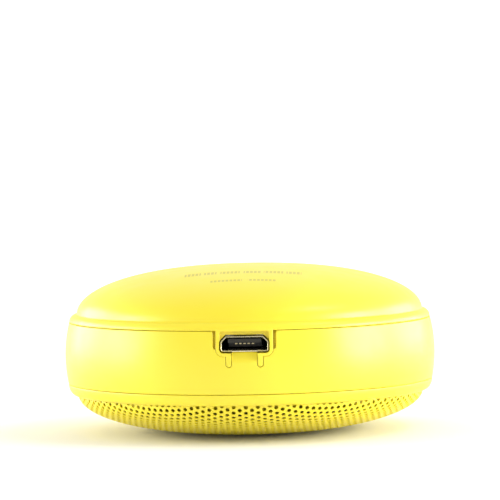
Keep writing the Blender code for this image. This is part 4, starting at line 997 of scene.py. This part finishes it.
def circuit_board():
    """Green solder mask over copper traces that run in steps along X and Y."""
    paint = Paint("solder_mask", (0.01, 0.09, 0.035), 0.35, Coat_Weight=0.3)
    cells = paint.add(
        "ShaderNodeTexBrick", {"offset": 0.5},
        {"Vector": paint.place(), "Scale": 1 / (2.2 * MM), "Mortar Size": 0.06, "Mortar Smooth": 0.2},
        output="Fac",
    )
    gate = paint.spread(paint.noise(6 * MM, 2), 0.48, 0.52, 0, 1)
    trace = cells * gate
    paint.feed("Base Color", paint.blend(trace, (0.008, 0.08, 0.03), (0.05, 0.22, 0.07)))
    paint.roughen(paint.noise(1 * MM, 3), 0.3, 0.42)
    paint.bump(trace + paint.noise(0.4 * MM, 2) * 0.1, 0.02 * MM, 0.6)
    return paint.material


def winding():
    """Enamelled copper wire, wound in fine turns stacked along Z."""
    paint = Paint("copper_winding", (0.72, 0.30, 0.12), 0.3, Metallic=0.9)
    x, y, z = paint.axes()
    turns = (z * (math.tau / (0.16 * MM))).maths("SINE") * 0.5 + 0.5
    paint.feed("Base Color", paint.blend(turns, (0.45, 0.16, 0.06), (0.78, 0.34, 0.14)))
    paint.roughen(paint.noise(0.5 * MM, 3), 0.25, 0.4)
    paint.bump(turns, 0.05 * MM, 0.8)
    return paint.material


def clear_plastic():
    paint = Paint("clear_plastic", (0.92, 0.93, 0.9), 0.12, Transmission_Weight=0.85, IOR=1.49)
    cloud = paint.noise(1.2 * MM, 3)
    paint.feed("Base Color", paint.blend(cloud, (0.88, 0.9, 0.86), (0.96, 0.97, 0.95)))
    paint.roughen(cloud, 0.08, 0.2)
    paint.bump(paint.noise(0.3 * MM, 2), 0.003 * MM, 0.3)
    return paint.material


def carried_over():
    """Gives every solid that stays a finish of its own."""
    black = moulded("black_plastic", (0.012, 0.012, 0.013), 0.42)
    white = moulded("white_plastic", (0.75, 0.74, 0.7), 0.4)
    steel = metal("plated_steel", (0.62, 0.61, 0.58), 0.3, streak=8.0)
    dark_steel = metal("blackened_steel", (0.11, 0.11, 0.115), 0.42)
    chip = moulded("chip_resin", (0.02, 0.02, 0.022), 0.55, 0.08 * MM)
    finishes = {
        "cone": moulded("pulp", (0.035, 0.035, 0.038), 0.85, 0.2 * MM),
        "dust_cap": moulded("dust_cap_cloth", (0.03, 0.03, 0.033), 0.8, 0.12 * MM),
        "voice_coil_former": moulded("former_film", (0.5, 0.36, 0.12), 0.35),
        "voice_coil_winding": winding(),
        "driver_frame": dark_steel,
        "yoke_cup": dark_steel,
        "pole_plate": steel,
        "driver_magnet": metal("sintered_magnet", (0.2, 0.2, 0.21), 0.5, 0.2 * MM),
        "driver_terminals": moulded("phenolic_board", (0.2, 0.09, 0.03), 0.6),
        "main_board": circuit_board(),
        "battery_cell": metal("cell_foil", (0.68, 0.68, 0.7), 0.34, 1.2 * MM, 3.0),
        "amplifier_chip": chip,
        "bluetooth_module": metal("shield_can", (0.7, 0.69, 0.66), 0.28, 0.6 * MM, 6.0),
        "power_inductor": moulded("ferrite", (0.05, 0.048, 0.05), 0.7, 0.12 * MM),
        "status_led": white,
        "battery_connector": white,
        "speaker_connector": white,
        "usb_tongue": moulded("tongue_plastic", (0.022, 0.018, 0.008), 0.4, 0.1 * MM),
    }
    red_sleeve = moulded("red_sleeve", (0.55, 0.02, 0.015), 0.4)
    black_sleeve = moulded("black_sleeve", (0.015, 0.015, 0.016), 0.4)
    gold = metal("gold_plate", (0.6, 0.5, 0.27), 0.35, 0.3 * MM)
    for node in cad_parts:
        if node.endswith("lead_red"):
            finishes[node] = red_sleeve
        elif node.endswith("lead_black"):
            finishes[node] = black_sleeve
        elif "screw" in node or node.endswith("_switch"):
            finishes[node] = steel
        elif node.endswith("_plunger"):
            finishes[node] = black
        elif "contact" in node:
            finishes[node] = gold
    for node, finish in finishes.items():
        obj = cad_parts[node]
        obj.data.materials.clear()
        obj.data.materials.append(finish)
    return finishes


# ---------------------------------------------------------------- studio


CAMERA_DISTANCE, CAMERA_HEIGHT, LENS = 600 * MM, 13 * MM, 265.5
AZIMUTH, ELEVATION, PITCH, ROLL, PAN = (math.radians(a) for a in (1.7, 4.33, 2.79, -1.1, -0.03))
FRONT_GLOW, BACK_GLOW, TOP_GLOW, FAR_GLOW, BACKDROP_GLOW = 0.6, 1.0, -0.25, 0.42, 1.1
LAMP_DISTANCE, LAMP_AIM = 0.6, 15 * MM
SOFT_BOXES = {
    "right": (76, 12, (0.32, 0.3), 12.0),
    "right_back": (118, 10, (0.4, 0.3), 6.0),
    "right_high": (74, 58, (0.14, 0.12), 9.0),
    "left": (-84, 10, (0.3, 0.3), 8.5),
    "left_back": (-122, 10, (0.36, 0.3), 6.0),
}


def add_camera():
    camera = bpy.data.objects.new("camera", bpy.data.cameras.new("camera"))
    flat = CAMERA_DISTANCE * math.cos(ELEVATION)
    height = CAMERA_HEIGHT + CAMERA_DISTANCE * math.sin(ELEVATION)
    camera.location = (flat * math.sin(AZIMUTH), -flat * math.cos(AZIMUTH), height)
    aim = Matrix.Rotation(AZIMUTH + PAN, 3, "Z") @ Matrix.Rotation(math.pi / 2 - PITCH, 3, "X")
    camera.rotation_euler = (aim @ Matrix.Rotation(ROLL, 3, "Z")).to_euler()
    camera.data.lens, camera.data.sensor_width = LENS, 36
    camera.data.clip_start, camera.data.clip_end = 0.01, 20
    bpy.context.scene.collection.objects.link(camera)
    bpy.context.scene.camera = camera


def add_floor():
    """A plain floor just under the speaker, which glows a little far away, as a lit sweep does."""
    bm = bmesh.new()
    bmesh.ops.create_grid(bm, x_segments=1, y_segments=1, size=3.0)
    bmesh.ops.translate(bm, verts=bm.verts, vec=(0, 0, -0.02 * MM))
    paint = Paint("floor_sweep", (0.96, 0.96, 0.96), 0.8, Specular_IOR_Level=0.1, Emission_Strength=1.0)
    paint.feed("Base Color", paint.blend(paint.noise(0.4, 2), (0.95, 0.95, 0.95), (0.97, 0.97, 0.97)))
    x, y, z = paint.axes()
    away = paint.spread((x * x + y * y).maths("SQRT"), 0.12, 0.5, 0, 1)
    paint.feed("Emission Color", paint.blend(away, (0, 0, 0), (FAR_GLOW, FAR_GLOW, FAR_GLOW)))
    floor = finished(bm, "floor", None)
    floor.data.materials.append(paint.material)


def soft_box(name, azimuth, elevation, size, glow):
    """A soft light facing the speaker, at that azimuth and elevation from it, with that radiance."""
    light = bpy.data.lights.new(name, "AREA")
    light.shape, light.size, light.size_y = "RECTANGLE", *size
    light.energy = glow * math.pi * size[0] * size[1]
    lamp = bpy.data.objects.new(name, light)
    turn, rise = math.radians(azimuth), math.radians(elevation)
    spot = Vector((math.sin(turn) * math.cos(rise), -math.cos(turn) * math.cos(rise), math.sin(rise)))
    lamp.location = spot * LAMP_DISTANCE + Vector((0, 0, LAMP_AIM))
    lamp.rotation_euler = spot.to_track_quat("Z", "Y").to_euler()
    bpy.context.scene.collection.objects.link(lamp)


class Sky(Paint):
    """The world's own nodes, built in the way that a material's are."""

    def __init__(self):
        world = bpy.data.worlds.new("studio")
        bpy.context.scene.world = world
        world.use_nodes = True
        self.tree = world.node_tree
        self.shader = self.tree.nodes["Background"]
        self.shader.inputs["Color"].default_value = (1, 1, 1, 1)


def add_light():
    """A white studio that is dimmer towards the viewer, with tall soft lights on either side."""
    sky = Sky()
    way = sky.add("ShaderNodeTexCoord", output="Generated")
    parts = sky.add("ShaderNodeSeparateXYZ", None, {0: way}).socket.node.outputs
    forward, upward = Signal(sky, parts[1]), Signal(sky, parts[2])
    glow = sky.spread(forward, -0.6, 0.3, FRONT_GLOW, BACK_GLOW) + sky.spread(upward, 0.3, 0.9, 0.0, TOP_GLOW)
    seen = sky.add("ShaderNodeLightPath", output="Is Camera Ray")
    sky.feed("Strength", glow * (1 - seen) + seen * BACKDROP_GLOW)
    for name, settings in SOFT_BOXES.items():
        soft_box(name, *settings)


# ---------------------------------------------------------------- making


def main():
    add_camera()
    add_floor()
    add_light()
    plastic = satin_plastic("satin_yellow")
    make_rear_shell(satin_plastic("satin_yellow_printed", marks=True))
    make_side_band(plastic)
    make_front_housing(plastic)
    enamel = grille_paint()
    make_grille(enamel)
    make_cloth(woven("acoustic_cloth", (0.006, 0.005, 0.003), (0.018, 0.015, 0.008), 0.3 * MM))
    for name in BUTTONS:
        make_button(name, plastic)
    make_socket(metal("socket_steel", (0.84, 0.79, 0.62), 0.28, 0.3 * MM, 4.0))
    make_light(clear_plastic())
    make_surround(moulded("rubber", (0.018, 0.018, 0.02), 0.6, 0.3 * MM))
    make_spider(woven("treated_cloth", (0.42, 0.27, 0.1), (0.62, 0.42, 0.18), 0.5 * MM, 0.8))
    foam = moulded("foam", (0.03, 0.03, 0.032), 0.95, 0.25 * MM)
    make_gasket(foam)
    make_battery_pad(foam)
    carried_over()
    view = bpy.context.scene.view_settings
    view.view_transform = "Standard"


main()
